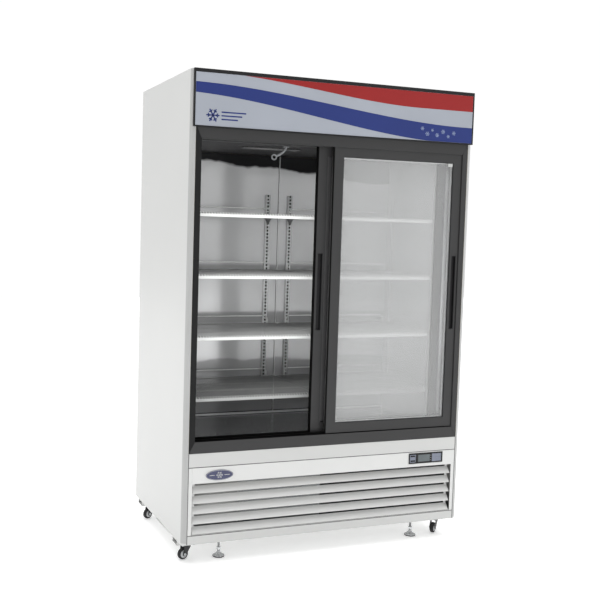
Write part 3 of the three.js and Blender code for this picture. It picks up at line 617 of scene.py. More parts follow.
def wire_deck(low, high, level, ends):
    """The deck's wires on the rods that cross beneath them. Each wire's front end, bent down in
    front of the front rod, goes to ends."""
    shape = Shape()
    radius = 0.0019
    rod = 0.0028
    front, back = low.y + 0.0052, high.y - 0.006
    z = level - radius
    count = round((high.x - low.x - 0.016) / WIRE_PITCH)
    for i in range(count + 1):
        x = low.x + 0.008 + (high.x - low.x - 0.016) * i / count
        shape.tube([(x, back, z), (x, front + 0.011, z)], radius, 6)
        bend = [(x, front + 0.0109, z), (x, front + 0.002, z), (x, front, z - 0.002), (x, front, z - 0.013)]
        ends.tube(bend, radius + 0.0003, 6)
    rods = [front + 0.0045, front + 0.034, low.y + 0.19, low.y + 0.35, back - 0.003]
    for y in rods:
        shape.tube([(low.x + 0.004, y, z - radius - rod), (high.x - 0.004, y, z - radius - rod)], rod)
    for x in (low.x + 0.004, high.x - 0.004):
        shape.tube([(x, rods[0], z - radius - rod), (x, rods[-1], z - radius - rod)], rod)
    return shape


def shelf_fence(shape, low, high, level):
    """A wire hoop that stands along the shelf's back edge."""
    y = high.y - 0.0045
    start = low.x + (0.044 if low.x > 0 else 0.010)
    end = high.x - (0.044 if low.x < 0 else 0.010)
    corners = [
        (start, y, level - 0.010),
        (start, y, high.z - 0.003),
        (end, y, high.z - 0.003),
        (end, y, level - 0.010),
    ]
    shape.tube(bent(corners, 0.022), 0.0028)


def ticket_strip(low, high, level):
    """The white strip along the front edge: a flat face with a rolled lip above and below."""
    front = low.y + 0.0002
    bottom = low.z + 0.0004
    outline = [
        (front, bottom + 0.0015),
        (front + 0.0008, bottom),
        (front + 0.0034, bottom + 0.0004),
        (front + 0.0016, bottom + 0.0026),
        (front + 0.0016, level - 0.0092),
        (front + 0.0036, level - 0.0076),
        (front + 0.0010, level - 0.0066),
        (front, level - 0.0080),
    ]
    return Shape().prism(outline, along_x, low.x, high.x)


def make_shelves():
    for side, _ in SIDES:
        for row in range(1, 5):
            node = f"shelf_{side}_{row}"
            low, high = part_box(node)
            level = low.z + 0.020
            bright = Shape()
            deck = wire_deck(low, high, level, bright)
            shelf_fence(bright, low, high, level)
            bright.piece(f"{node}_fence", "cabinet", BRIGHT_WIRE, "white_wire")
            deck.piece(f"{node}_wires", "cabinet", WIRE, "white_wire", replaces=[node])
            strip = ticket_strip(low, high, level)
            strip.piece(f"{node}_strip", "cabinet", STRIP, "white_wire")
            gap = Shape().box(
                (low.x + 0.006, low.y + 0.0126, level - 0.0150),
                (high.x - 0.006, low.y + 0.0132, level - 0.0034),
            )
            gap.piece(f"{node}_shadow_bar", "cabinet", SEAL_AND_SHADE, "white_wire")


def shelf_clips():
    """Dark saddle brackets that carry the shelves on the pilasters, and small ones at the walls."""
    shape = Shape()
    for row in range(1, 5):
        for side, sign in SIDES:
            low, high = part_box(f"shelf_{side}_{row}")
            under = low.z + 0.0072
            pilaster_low, pilaster_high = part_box(f"pilaster_{side}")
            x = (pilaster_low.x + pilaster_high.x) / 2
            front = pilaster_low.y
            saddle = [(x - 0.0055, under - 0.030), (x + 0.0055, under - 0.030), (x + 0.008, under - 0.017)]
            saddle += [(x + 0.018, under - 0.004), (x + 0.018, under), (x - 0.018, under)]
            saddle += [(x - 0.018, under - 0.004), (x - 0.008, under - 0.017)]
            shape.prism(saddle, along_y, front - 0.006, front - 0.0003)
            shape.box((x - 0.018, front - 0.024, under - 0.0025), (x + 0.018, front - 0.006, under))
            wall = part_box(f"liner_{side}")
            inner = wall[0].x if sign > 0 else wall[1].x
            for y in (low.y + 0.026, high.y - 0.062):
                x0, x1 = sorted((inner - sign * 0.0002, inner - sign * 0.017))
                shape.box((x0, y - 0.006, under - 0.0025), (x1, y + 0.006, under))
                x2, x3 = sorted((inner - sign * 0.0002, inner - sign * 0.0024))
                shape.box((x2, y - 0.006, under - 0.020), (x3, y + 0.006, under - 0.0025))
    shape.piece("shelf_clips", "cabinet", DARK_STEEL, "galvanised_steel", 0.0004)


def make_pilasters():
    """Bright channel uprights with a row of slots down the face, and a black lining at the back of
    the channel that is painted shade inside.
    """
    pitch, slot_height, slot_half = 0.0175, 0.0105, 0.0046
    for side, _ in SIDES:
        node = f"pilaster_{side}"
        low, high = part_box(node)
        mid = (low.x + high.x) / 2
        wall = 0.0012
        shape = Shape()
        for x0, x1 in ((low.x, mid - slot_half), (mid + slot_half, high.x)):
            shape.box((x0, low.y, low.z), (x1, low.y + wall, high.z))
        for x0, x1 in ((low.x, low.x + wall), (high.x - wall, high.x)):
            shape.box((x0, low.y + wall, low.z), (x1, high.y, high.z))
        count = int((high.z - low.z) / pitch)
        for i in range(count + 1):
            z0 = low.z + i * pitch
            z1 = min(high.z, z0 + pitch - slot_height)
            shape.box((mid - slot_half, low.y, z0), (mid + slot_half, low.y + wall, z1))
        shape.piece(node + "_channel", "cabinet", PILASTER, "galvanised_steel", replaces=[node])
        # Black sheet at the back of the channel: painted shade seen through the slots.
        lining = Shape().box((low.x + wall, high.y - 0.003, low.z), (high.x - wall, high.y - 0.0005, high.z))
        lining.piece(node + "_shade_backing", "cabinet", SEAL_AND_SHADE, "black_plastic")


def make_back_seam():
    """The dark joint down the middle of the back liner, with one turned edge beside it."""
    low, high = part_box("liner_back")
    y = low.y
    joint = Shape().box((-0.0016, y - 0.0004, low.z + 0.012), (0.0010, y - 0.00005, high.z - 0.002))
    joint.piece("back_seam", "cabinet", DARK_STEEL, "stainless_liner")
    edge = Shape().box((0.0011, y - 0.0010, low.z + 0.012), (0.0042, y - 0.00005, high.z - 0.002))
    edge.piece("back_seam_edge", "cabinet", BRIGHT_STEEL, "stainless_liner", 0.0003)


# ---- Header graphic ----

def sweep(x, start, end, low, high):
    """A smooth step from low to high as x runs from start to end."""
    t = min(1.0, max(0.0, (x - start) / (end - start)))
    return low + (high - low) * t * t * (3 - 2 * t)


def film(name, x_start, x_end, top_edge, bottom_edge, material):
    """A thin film on the header, between two curved edges that are depths below the cabinet's top."""
    low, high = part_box("header_panel")
    cabinet_top = CAD_BOX[1].z
    columns = 72
    upper, lower = [], []
    for i in range(columns + 1):
        x = x_start + (x_end - x_start) * i / columns
        z_top = min(high.z - 0.0004, cabinet_top - top_edge(x))
        z_bottom = max(low.z + 0.0004, cabinet_top - bottom_edge(x))
        if z_top - z_bottom > 0.0002:
            upper.append((x, z_top))
            lower.append((x, z_bottom))
    face, back = low.y - 0.00035, low.y - 0.00005
    n = len(upper)
    shape = Shape()
    points = [(x, y, z) for y in (face, back) for edge in (upper, lower) for x, z in edge]
    rows = [0, n, 2 * n, 3 * n]  # upper front, lower front, upper back, lower back
    faces = []
    for i in range(n - 1):
        for a, b in ((0, 1), (1, 3), (3, 2), (2, 0)):
            faces.append((rows[a] + i, rows[a] + i + 1, rows[b] + i + 1, rows[b] + i))
    for i in (0, n - 1):
        faces.append((rows[0] + i, rows[1] + i, rows[3] + i, rows[2] + i))
    shape.add(points, faces)
    shape.piece(name, "cabinet", material, "sign_face")


def snowflake(shape, x, y, z, radius, width, thick):
    """A plain six-armed crystal, each arm with two short branches."""
    for arm in range(6):
        turn = Matrix.Rotation(math.radians(60 * arm), 3, "Y")

        def bar(u0, u1, half, lean, at):
            lean_turn = Matrix.Rotation(lean, 3, "Y")
            outline = [(u0, -half), (u1, -half), (u1, half), (u0, half)]
            offset = Vector((at, 0, 0))

            def place_point(u, v, w):
                p = turn @ (offset + lean_turn @ Vector((u, 0, v)))
                return (x + p.x, y + w, z + p.z)

            shape.prism(outline, place_point, -thick, 0.0)

        bar(0.0, radius, width / 2, 0.0, 0.0)
        for lean in (-0.95, 0.95):
            bar(0.0, radius * 0.34, width * 0.42, lean, radius * 0.55)


def make_header_graphic():
    low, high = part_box("header_panel")
    edge = 0.0005
    left, right = low.x + edge, high.x - edge
    film(
        "header_band_blue",
        left,
        right,
        lambda x: sweep(x, -0.69, 0.64, 0.055, 0.162),
        lambda x: sweep(x, -0.76, 0.56, 0.097, 0.236),
        BLUE_FILM,
    )
    film(
        "header_band_red",
        -0.56,
        right,
        lambda x: 0.0,
        lambda x: sweep(x, -0.60, 0.40, 0.012, 0.088),
        RED_FILM,
    )
    face = low.y - 0.0004
    crystals = Shape()
    spots = ((0.410, 1.931, 9), (0.437, 1.908, 11), (0.463, 1.926, 7), (0.489, 1.905, 10), (0.520, 1.922, 11))
    spots += ((0.549, 1.902, 8), (0.578, 1.918, 10))
    for x, z, size in spots:
        snowflake(crystals, x, face, z, size * MM, 1.5 * MM, 0.0002)
    crystals.piece("header_crystals", "cabinet", PALE_FILM, "sign_face")
    emblem = Shape()
    snowflake(emblem, -0.60, low.y, 1.921, 0.029, 0.0055, 0.0003)
    for i in range(3):
        z = 1.936 - i * 0.015
        emblem.box((-0.562, low.y - 0.0003, z - 0.0028), (-0.452 - i * 0.018, low.y, z + 0.0028))
    emblem.piece("header_emblem", "cabinet", BLUE_FILM, "sign_face")


# ---- Doors ----

def make_door_details():
    for side, _ in SIDES:
        body = f"door_{side}"
        low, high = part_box(f"door_{side}_frame")
        pane_low, pane_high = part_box(f"door_{side}_glass")
        rebate = 0.008
        sight = (pane_low.x + rebate, pane_high.x - rebate, pane_low.z + rebate, pane_high.z - rebate)
        spacer_ring(body, side, sight, pane_low.y, pane_high.y)
        glazing_beads(body, side, sight, low.y, pane_low.y)
        door_rollers(body, side, low, high)
    left_low, left_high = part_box("door_left_frame")
    meeting_strip(left_low, left_high)
    right_low, right_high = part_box("door_right_frame")
    seal = Shape()
    x, z0, z1 = right_low.x - 0.0002, right_low.z + 0.004, right_high.z - 0.004
    seal.box((x - 0.0024, right_low.y + 0.0015, z0), (x, right_low.y + 0.0100, z1))
    seal.piece("door_right_seal", "door_right", SEAL_AND_SHADE, "black_plastic")
    flange = Shape().box((x - 0.0005, right_low.y + 0.0105, z0), (x, right_high.y - 0.0010, z1))
    flange.piece("door_right_flange", "door_right", LIT_EXTRUSION, "dark_extrusion")
    corner_key(right_low, right_high)


def frame_ring(shape, x0, x1, z0, z1, width, y0, y1):
    """A rectangular ring of four mitred bars, width deep inwards from its outer edges."""
    outer = [(x0, z0), (x1, z0), (x1, z1), (x0, z1)]
    inner = [
        (x0 + width, z0 + width), (x1 - width, z0 + width), (x1 - width, z1 - width),
        (x0 + width, z1 - width),
    ]
    points = [(x, y, z) for y in (y0, y1) for loop in (outer, inner) for x, z in loop]
    faces = []
    for i in range(4):
        j = (i + 1) % 4
        faces.append((i, j, 4 + j, 4 + i))
        faces.append((8 + i, 12 + i, 12 + j, 8 + j))
        faces.append((i, 8 + i, 8 + j, j))
        faces.append((4 + i, 4 + j, 12 + j, 12 + i))
    return shape.add(points, faces)


def spacer_ring(body, side, sight, y_front, y_back):
    """The aluminium bar between the two sheets of the sealed pane, seen at its edge."""
    x0, x1, z0, z1 = sight
    inset = 0.004
    shape = frame_ring(
        Shape(), x0 - inset, x1 + inset, z0 - inset, z1 + inset, 0.0095, y_front + 0.0042,
        y_back - 0.0042,
    )
    shape.piece(f"door_{side}_spacer", body, SPACER, "dark_extrusion", 0.0006)


def glazing_beads(body, side, sight, face, pane_face):
    """The thin black bead between the pane and the frame's front."""
    x0, x1, z0, z1 = sight
    shape = frame_ring(
        Shape(), x0 + 0.0001, x1 - 0.0001, z0 + 0.0001, z1 - 0.0001, 0.0022, face + 0.0022,
        pane_face - 0.0001,
    )
    shape.piece(f"door_{side}_bead", body, RUBBER, "black_plastic", 0.0006)


def door_rollers(body, side, low, high):
    """Two wheels on each door's bottom rail, standing over the guide rib."""
    middle = (low.y + high.y) / 2
    shape = Shape()
    for x in (low.x + 0.09, high.x - 0.09):
        profile = [
            (0, -0.0032), (0.0035, -0.0032), (0.0058, -0.0026), (0.0058, 0.0026), (0.0035, 0.0032),
            (0, 0.0032),
        ]
        shape.turned(profile, (x, middle, low.z + 0.0099 - 0.0002), (0, 1, 0), 20)
    shape.piece(f"door_{side}_rollers", body, HUB, "grey_plastic")


def meeting_strip(low, high):
    """The recessed strip beside the left door's meeting stile, in a lighter copy of the frame's finish
    that is painted light, with a black stop at each end, and a black sheet on the door's left side
    face that is painted shade.
    """
    stile_edge = low.x + 0.045
    face = low.y + 0.0016
    x0, x1 = stile_edge + 0.0002, stile_edge + 0.033
    z0, z1 = low.z + 0.046, high.z - 0.030
    outline = [(x0, face), (x0 + 0.006, face), (x0 + 0.009, face + 0.0016), (x1 - 0.003, face + 0.0016)]
    outline += [(x1, face + 0.0030), (x1, face + 0.0040), (x0, face + 0.0040)]
    strip = Shape().prism(outline, xyz, z0, z1)
    strip.piece("door_left_meeting_strip", "door_left", LIT_EXTRUSION, "dark_extrusion", 0.0006)
    stops = Shape()
    stops.box((x0 + 0.004, low.y + 0.0003, low.z + 0.0045), (x1 + 0.004, low.y + 0.0054, low.z + 0.050))
    stops.box((x0 + 0.006, low.y + 0.0003, high.z - 0.038), (x1 - 0.002, low.y + 0.0054, high.z - 0.014))
    stops.piece("door_left_stops", "door_left", SEAL_AND_SHADE, "black_plastic", 0.001)
    # Black sheet on the left side face of the left door's stile: painted shade.
    edge = Shape().box(
        (low.x - 0.0003, low.y + 0.001, low.z + 0.001),
        (low.x - 0.00005, high.y - 0.001, high.z - 0.001),
    )
    edge.piece("door_left_edge_shade", "door_left", SEAL_AND_SHADE, "black_plastic")


def corner_key(low, high):
    """The white moulded corner at the top of the right door's pane."""
    x1, z1 = high.x - 0.0452, high.z - 0.0552
    outline = [
        (x1 - 0.027, z1 - 0.001), (x1 - 0.0265, z1 - 0.015), (x1 - 0.024, z1 - 0.017),
        (x1, z1 - 0.017), (x1, z1 - 0.001),
    ]
    shape = Shape().prism(list(reversed(outline)), along_y, low.y + 0.0032, low.y + 0.0058)
    shape.piece("door_right_corner_key", "door_right", STRIP, "white_wire", 0.0006)


def make_track_liners():
    """Black strips that lie in the sill between the guide ribs, and line the top track's mouth."""
    low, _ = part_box("bottom_track")
    top = 0.540
    ribs = [0.020, 0.054]
    front = low.y
    half = 0.6408
    edges = [0.0012, *[e for r in ribs for e in (r - 0.0022, r + 0.0022)], 0.0915]
    shape = Shape()
    for start, end in zip(edges[0::2], edges[1::2]):
        shape.box((-half, front + start, top + 0.0001), (half, front + end, top + 0.0011))
    for rib in ribs:
        outline = [(-0.0031, top + 0.0012), (0.0031, top + 0.0012), (0.0031, top + 0.0066)]
        outline += [(0.0016, top + 0.0079), (-0.0016, top + 0.0079), (-0.0031, top + 0.0066)]
        shape.prism([(front + rib + u, v) for u, v in outline], along_x, -half, half)
    shape.piece("track_liners", "cabinet", SEAL_AND_SHADE, "black_plastic")
    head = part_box("door_left_frame")[1].z
    brush = Shape().box((-half, front + 0.0345, head - 0.0085), (half, front + 0.0395, head + 0.0005))
    brush.piece("track_brush", "cabinet", SEAL_AND_SHADE, "black_plastic")


# ---- Interior fittings ----

def make_interior():
    ceiling_low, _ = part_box("evaporator_cover")
    for side, sign in SIDES:
        liner_low, liner_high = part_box(f"liner_{side}")
        inner = liner_low.x if sign > 0 else liner_high.x
        x0, x1 = sorted((inner - sign * 0.0005, inner - sign * 0.0060))
        y0 = liner_low.y + 0.004
        lamp = Shape().box((x0, y0, 0.60), (x1, y0 + 0.014, 1.74))
        lamp.piece(f"light_strip_{side}", "cabinet", LAMP, "lamp_white", 0.002)
        caps = Shape()
        for z in (0.588, 1.7405):
            caps.box((x0, y0 - 0.001, z), (x1, y0 + 0.015, z + 0.0115))
        caps.piece(f"light_strip_caps_{side}", "cabinet", STRIP, "lamp_white", 0.0012)
        fan_guard(side, sign, ceiling_low)
    seam_cover()
    hook_sleeve()


def hook_sleeve():
    """The soft sleeve over the ceiling hook's strap."""
    low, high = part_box("ceiling_hook")
    y = (low.y + high.y) / 2
    x = high.x - 0.012
    route = [(x, y, high.z - 0.004), (x - 0.005, y, high.z - 0.017), (x - 0.024, y, high.z - 0.034)]
    route.append((x - 0.040, y, high.z - 0.041))
    Shape().tube(bent(route, 0.010), 0.0052, 10).piece(
        "ceiling_hook_sleeve", "cabinet", HOOK_GREY, "grey_plastic",
    )


def fan_guard(side, sign, ceiling_low):
    """A wire guard over the air intake in the ceiling."""
    x, y = sign * 0.215, FRONT + 0.275
    z = ceiling_low.z - 0.0035
    shape = Shape()
    half_x, half_y = 0.136, 0.031
    wires = 9
    for i in range(wires):
        wy = y - half_y + 2 * half_y * i / (wires - 1)
        shape.tube([(x - half_x, wy, z), (x + half_x, wy, z)], 0.0012, 6)
    for i in range(3):
        wx = x + (i - 1) * half_x * 0.92
        shape.tube([(wx, y - half_y, z + 0.0024), (wx, y + half_y, z + 0.0024)], 0.0012, 6)
    shape.piece(f"intake_guard_{side}", "cabinet", DARK_STEEL, "galvanised_steel")


def seam_cover():
    """A ledge along the foot of the back wall, where the floor pan turns up."""
    back_low, back_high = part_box("liner_back")
    _, floor_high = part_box("liner_floor")
    y = back_low.y
    outline = arc((y - 0.0065, floor_high.z + 0.0065), 0.0060, -90, 0, 6)
    outline += [(y - 0.0002, floor_high.z + 0.011), (y - 0.0012, floor_high.z + 0.011)]
    outline += arc((y - 0.0065, floor_high.z + 0.0065), 0.0048, 0, -90, 6)
    shape = Shape().prism(outline, along_x, back_low.x + 0.001, back_high.x - 0.001)
    shape.piece("floor_cove", "cabinet", BRIGHT_STEEL, "stainless_liner")
    # Black strips just above the ledge and on the floor pan in front of it: painted shade along the ledge.
    lines = Shape()
    x0, x1 = back_low.x + 0.001, back_high.x - 0.001
    lines.box((x0, y - 0.0006, floor_high.z + 0.0112), (x1, y - 0.0002, floor_high.z + 0.0150))
    lines.box((x0, y - 0.0150, floor_high.z + 0.0001), (x1, y - 0.0070, floor_high.z + 0.0004))
    lines.piece("floor_cove_shade_lines", "cabinet", SEAL_AND_SHADE, "black_plastic")


# ---- Lower front ----

def make_badge():
    low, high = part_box("badge")
    centre = (low + high) / 2
    half = (high - low) / 2
    y = low.y
    path = []
    steps = 72
    for i in range(steps):
        a = 2 * math.pi * i / steps
        path.append(
            (centre.x + (half.x - 0.0022) * math.cos(a), y, centre.z + (half.z - 0.0022) * math.sin(a))
        )
    Shape().tube(path, 0.0009, 8, closed=True).piece("badge_rim", "cabinet", BADGE_RIM, "badge_navy")
    mark = Shape()
    snowflake(mark, centre.x, y, centre.z, 0.0155, 0.0030, 0.0004)
    for sign in (-1, 1):
        x0, x1 = sorted((centre.x + sign * 0.022, centre.x + sign * 0.046))
        mark.box((x0, y - 0.0004, centre.z - 0.0013), (x1, y, centre.z + 0.0013))
    mark.piece("badge_mark", "cabinet", BADGE_RIM, "badge_navy")


def make_controller_face():
    low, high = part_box("controller")
    centre_x, centre_z = (low.x + high.x) / 2, (low.z + high.z) / 2
    face = low.y
    window = Shape()
    window.box(
        (centre_x - 0.0425, face - 0.0004, centre_z - 0.0165),
        (centre_x + 0.0215, face - 0.00005, centre_z + 0.0165),
    )
    window.piece("controller_window", "cabinet", SCREEN, "grey_plastic", 0.0002)
    panels = Shape()
    key_rows = [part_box(f"key_{key}") for key in ("set", "up", "down")]
    gap = 0.0004
    set_low, set_high = key_rows[0]
    frame_ring(
        panels, set_low.x - 0.0034, set_high.x + 0.0034, centre_z - 0.018, centre_z + 0.018, 0.0028,
        face - 0.0003, face - 0.00005,
    )
    up_low, up_high = key_rows[1]
    down_high = key_rows[2][1]
    right = up_high.x + 0.004
    panels.box(
        (up_low.x - 0.022, face - 0.0003, centre_z - 0.0185),
        (up_low.x - gap, face - 0.00005, centre_z + 0.0185),
    )
    panels.box(
        (up_high.x + gap, face - 0.0003, centre_z - 0.0185),
        (right, face - 0.00005, centre_z + 0.0185),
    )
    panels.box((up_low.x, face - 0.0003, down_high.z + gap), (up_high.x, face - 0.00005, up_low.z - gap))
    panels.piece("controller_key_field", "cabinet", KEY_GREY, "grey_plastic")
    lights = Shape()
    for i in range(3):
        z = centre_z + 0.011 - i * 0.011
        lights.turned(
            [(0, 0), (0.0013, 0), (0.0013, 0.0003), (0, 0.0006)],
            (centre_x + 0.0275, face - 0.00005, z), (0, -1, 0), 12,
        )
    lights.piece("controller_pilots", "cabinet", STRIP, "lamp_white")


def hex_outline(radius):
    """The six corners of a nut or a bolt's head."""
    turns = [math.radians(60 * i) for i in range(6)]
    return [(radius * math.cos(a), radius * math.sin(a)) for a in turns]


def screw_head(shape, centre, axis, radius=0.0042):
    """A domed head, turned about axis."""
    profile = [
        (0, -0.0002), (radius, -0.0002), (radius, 0.0006), (radius * 0.82, 0.0016),
        (radius * 0.45, 0.0021), (0, 0.0022),
    ]
    shape.turned(profile, centre, axis, 16)


def make_screws():
    """Pan-head screws that hold the skins, each head proud of its sheet."""
    shape = Shape()
    back_low, back_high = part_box("back_panel")
    y = back_high.y
    rows = 9
    for i in range(rows):
        z = back_low.z + 0.03 + (back_high.z - back_low.z - 0.06) * i / (rows - 1)
        for x in (back_low.x + 0.016, back_high.x - 0.016):
            screw_head(shape, (x, y, z), (0, 1, 0))
    columns = 6
    for i in range(columns):
        x = back_low.x + 0.14 + (back_high.x - back_low.x - 0.28) * i / (columns - 1)
        for z in (back_low.z + 0.016, back_high.z - 0.016):
            screw_head(shape, (x, y, z), (0, 1, 0))
    shape.piece("back_screws", "cabinet", STEEL, "galvanised_steel")
    post = Shape()
    for side, sign in SIDES:
        jamb_low, jamb_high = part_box(f"jamb_{side}")
        x = jamb_low.x if sign > 0 else jamb_high.x
        for z in (0.60, 1.18, 1.76):
            screw_head(post, (x + sign * 0.0002, jamb_low.y + 0.074, z), (-sign, 0, 0), 0.0034)
    post.piece("frame_screws", "cabinet", STEEL, "galvanised_steel")


def make_bay_lining():
    """Baffles in the machine bay behind the grille: a bright one at the left, and a dark one at the
    right whose near-black colour is painted shadow.
    """
    coil_low, coil_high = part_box("condenser_coil")
    y = coil_low.y
    z0, z1 = 0.1015, 0.425
    left = Shape().box((-0.660, y, z0), (coil_low.x - 0.002, y + 0.0015, z1))
    left.piece("bay_baffle_left", "cabinet", GREY_ENAMEL_AND_SHADE, "white_steel")
    right = Shape().box((coil_high.x + 0.002, y, z0), (0.660, y + 0.0015, z1))
    right.piece("bay_baffle_right", "cabinet", BAY_SHADOW_BLACK, "black_paint")


def make_seams():
    """Dark joints between the front's sheets, and thin shells over the rolled front corners of the side
    panels: painted shade at the left corner, painted light at the right.
    """
    grille_low, grille_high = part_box("grille_panel")
    base_high = grille_low.z
    face = FRONT
    seams = Shape()
    for z in (grille_high.z, base_high):
        seams.box((-0.667, face - 0.0003, z - 0.0014), (0.667, face - 0.00005, z + 0.0016))
    for sign in (-1, 1):
        x0, x1 = sorted((sign * 0.6658, sign * 0.6690))
        seams.box((x0, face - 0.0003, 0.0945), (x1, face - 0.00005, 0.4895))
    seams.piece("front_seams", "cabinet", DARK_STEEL, "black_plastic")
    corner = 0.022
    for side, sign in SIDES:
        low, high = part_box(f"side_panel_{side}")
        edge = low.x if sign < 0 else high.x
        centre = (edge - sign * corner, face + corner)
        turn = (180 + 10, 180 + 88) if sign < 0 else (360 - 88, 360 - 10)
        outline = arc(centre, corner + 0.00025, *turn, 10) + arc(
            centre, corner + 0.00005, *reversed(turn), 10,
        )
        strip = Shape().prism(outline, xyz, low.z + 0.0005, high.z - 0.002)
        finish = GREY_ENAMEL_AND_SHADE if sign < 0 else LIT_CORNER_ENAMEL
        strip.piece(f"corner_strip_{side}", "cabinet", finish, "white_steel")


def make_mitres():
    """Fine dark lines across the corners of the door frame."""
    low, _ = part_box("bottom_track")
    top_low, top_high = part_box("top_track")
    jamb_low, jamb_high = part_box("jamb_left")
    width = jamb_high.x - jamb_low.x
    face = jamb_low.y
    shape = Shape()
    half = 0.0006
    corners = ((low.z, 1), (top_high.z, -1))
    for sign in (-1, 1):
        outer = sign * (-jamb_low.x)
        for z, up in corners:
            run = 0.050 if up > 0 else top_high.z - top_low.z
            x_end, z_end = outer - sign * width, z + up * run
            outline = [(outer - half, z), (outer + half, z), (x_end + half, z_end), (x_end - half, z_end)]
            if up < 0:
                outline.reverse()
            shape.prism(outline, along_y, face - 0.0002, face - 0.00003)
    shape.piece("frame_mitres", "cabinet", BLACK, "dark_extrusion")


# ---- Casters and levelling feet ----

def spin_frame(joint_name):
    joint = JOINTS[joint_name]
    return Vector(joint["pos_m"]), Vector(joint["axis"]).normalized()


def make_casters():
    for place_name in ("front_left", "front_right", "rear_left", "rear_right"):
        hub_centre, axle = spin_frame(f"caster_{place_name}_roll")
        pivot, _ = spin_frame(f"caster_{place_name}_swivel")
        caster_wheel(place_name, hub_centre, axle)
        caster_fork(place_name, pivot, hub_centre, axle)


def caster_wheel(place_name, centre, axle):
    """A rounded rubber tyre round a pale moulded hub with a bored boss."""
    wheel = f"caster_wheel_{place_name}"
    r, w = 0.025, 0.0105
    tread = [
        (0.0170, -w + 0.002), (0.0205, -w + 0.0004), (0.0232, -w + 0.0022), (0.0247, -w + 0.0055),
        (r, 0),
    ]
    tread += [(a, -b) for a, b in reversed(tread[:-1])]
    tyre = Shape().ring(tread, centre, axle, 40)
    tyre.piece(f"{wheel}_tyre", wheel, RUBBER, "caster_tread", replaces=[wheel])
    dish = [(0.0044, -w), (0.0085, -w), (0.0098, -w + 0.0035), (0.0150, -w + 0.0042), (0.0172, -w + 0.0018)]
    dish += [(a, -b) for a, b in reversed(dish)]
    Shape().ring(dish, centre, axle, 32).piece(f"{wheel}_hub", wheel, HUB, "grey_plastic")


def caster_fork(place_name, pivot, centre, axle):
    """Pressed cheeks with a rounded shoulder, a raceway dome, and the axle's bolt head and nut."""
    node = f"caster_fork_{place_name}"
    up = Vector((0, 0, 1))
    trail = up.cross(axle)
    base = Vector((pivot.x, pivot.y, 0))
    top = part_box(node)[1].z

    def put(u, v, w):
        """u runs towards the wheel from the pivot, v up, and w along the axle."""
        return base + trail * u + up * v + axle * w

    t = (centre - base).dot(trail)
    shape = Shape()
    shoulder = top - 0.0048
    cheek = [(-0.0125, shoulder), (-0.0135, shoulder - 0.003), (t - 0.0125, centre.z + 0.001)]
    cheek += arc((t, centre.z), 0.0088, 190, 380, 12)
    cheek += [(t + 0.0045, centre.z + 0.016), (t + 0.003, shoulder - 0.004), (t - 0.001, shoulder)]
    for inner, outer in ((0.0124, 0.0148), (-0.0148, -0.0124)):
        shape.prism(cheek, put, inner, outer)
    bridge = [
        (-0.0128, shoulder - 0.0002), (t - 0.0012, shoulder - 0.0002),
        (t - 0.0012, shoulder + 0.0026), (-0.0128, shoulder + 0.0026),
    ]
    shape.prism(bridge, put, -0.0146, 0.0146)
    dome = [
        (0, shoulder + 0.0027), (0.0188, shoulder + 0.0027), (0.0198, shoulder + 0.0034),
        (0.0192, top - 0.0004), (0.016, top - 0.0001), (0, top - 0.0001),
    ]
    shape.turned(dome, base, (0, 0, 1), 32)
    shape.piece(f"{node}_pressing", node, PAINTED_BLACK, "black_paint", 0.0006, replaces=[node])
    axle_parts = Shape()
    axle_parts.tube([centre - axle * 0.0150, centre + axle * 0.0150], 0.0038, 16)
    hexagon = hex_outline(0.0062)
    for start, end in ((0.0149, 0.0170), (-0.0170, -0.0149)):
        axle_parts.prism([(t + u, centre.z + v) for u, v in hexagon], put, start, end)
    axle_parts.piece(f"{node}_axle", node, STEEL, "galvanised_steel", 0.0004)


def make_levellers():
    """A screw foot: rubber-soled steel disc, ball neck, hexagon and threaded stud."""
    for side, _ in SIDES:
        node = f"leveller_{side}"
        low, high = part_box(node)
        centre = (low + high) / 2
        base = Vector((centre.x, centre.y, 0))
        sole = [(0, 0), (0.0262, 0), (0.0273, 0.0012), (0.0273, 0.0048), (0, 0.0048)]
        Shape().turned(sole, base, sides=48).piece(f"{node}_sole", node, RUBBER, "caster_tread")
        disc = [
            (0, 0.0049), (0.0270, 0.0049), (0.0268, 0.0070), (0.0243, 0.0092), (0.0185, 0.0118),
            (0.0130, 0.0150),
        ]
        disc += [(0.0090, 0.0200), (0.0072, 0.0240), (0.0088, 0.0282), (0.0080, 0.0318), (0, 0.0318)]
        metal = Shape().turned(disc, base, sides=48)
        angles = [math.radians(60 * i + 15) for i in range(6)]
        nut = [(0.0113 * math.cos(a), 0.0113 * math.sin(a)) for a in angles]
        metal.prism([(base.x + u, base.y + v) for u, v in nut], xyz, 0.0319, 0.0420)
        metal.piece(f"{node}_disc", node, CHROME, "chrome_foot", 0.0005, replaces=[node])
        pitch = 0.00175
        stud = [(0, 0.0421), (0.0052, 0.0421)]
        turns = int((0.0895 - 0.043) / pitch)
        for i in range(turns):
            z = 0.043 + i * pitch
            stud += [(0.0059, z + pitch * 0.35), (0.0050, z + pitch * 0.85)]
        stud += [(0.0046, 0.0895), (0, 0.0898)]
        Shape().turned(stud, base, sides=20).piece(f"{node}_stud", node, CHROME, "chrome_foot")


def make_caster_plates():
    """Four bolt heads under each caster's mounting plate."""
    shape = Shape()
    for place_name in ("front_left", "front_right", "rear_left", "rear_right"):
        pivot, _ = spin_frame(f"caster_{place_name}_swivel")
        for dx in (-0.025, 0.025):
            for dy in (-0.025, 0.025):
                hexagon = hex_outline(0.0050)
                outline = [(pivot.x + dx + u, pivot.y + dy + v) for u, v in hexagon]
                shape.prism(outline, xyz, 0.0645, 0.0679)
    shape.piece("caster_bolts", "cabinet", STEEL, "galvanised_steel", 0.0004)


# ---- Stage ----

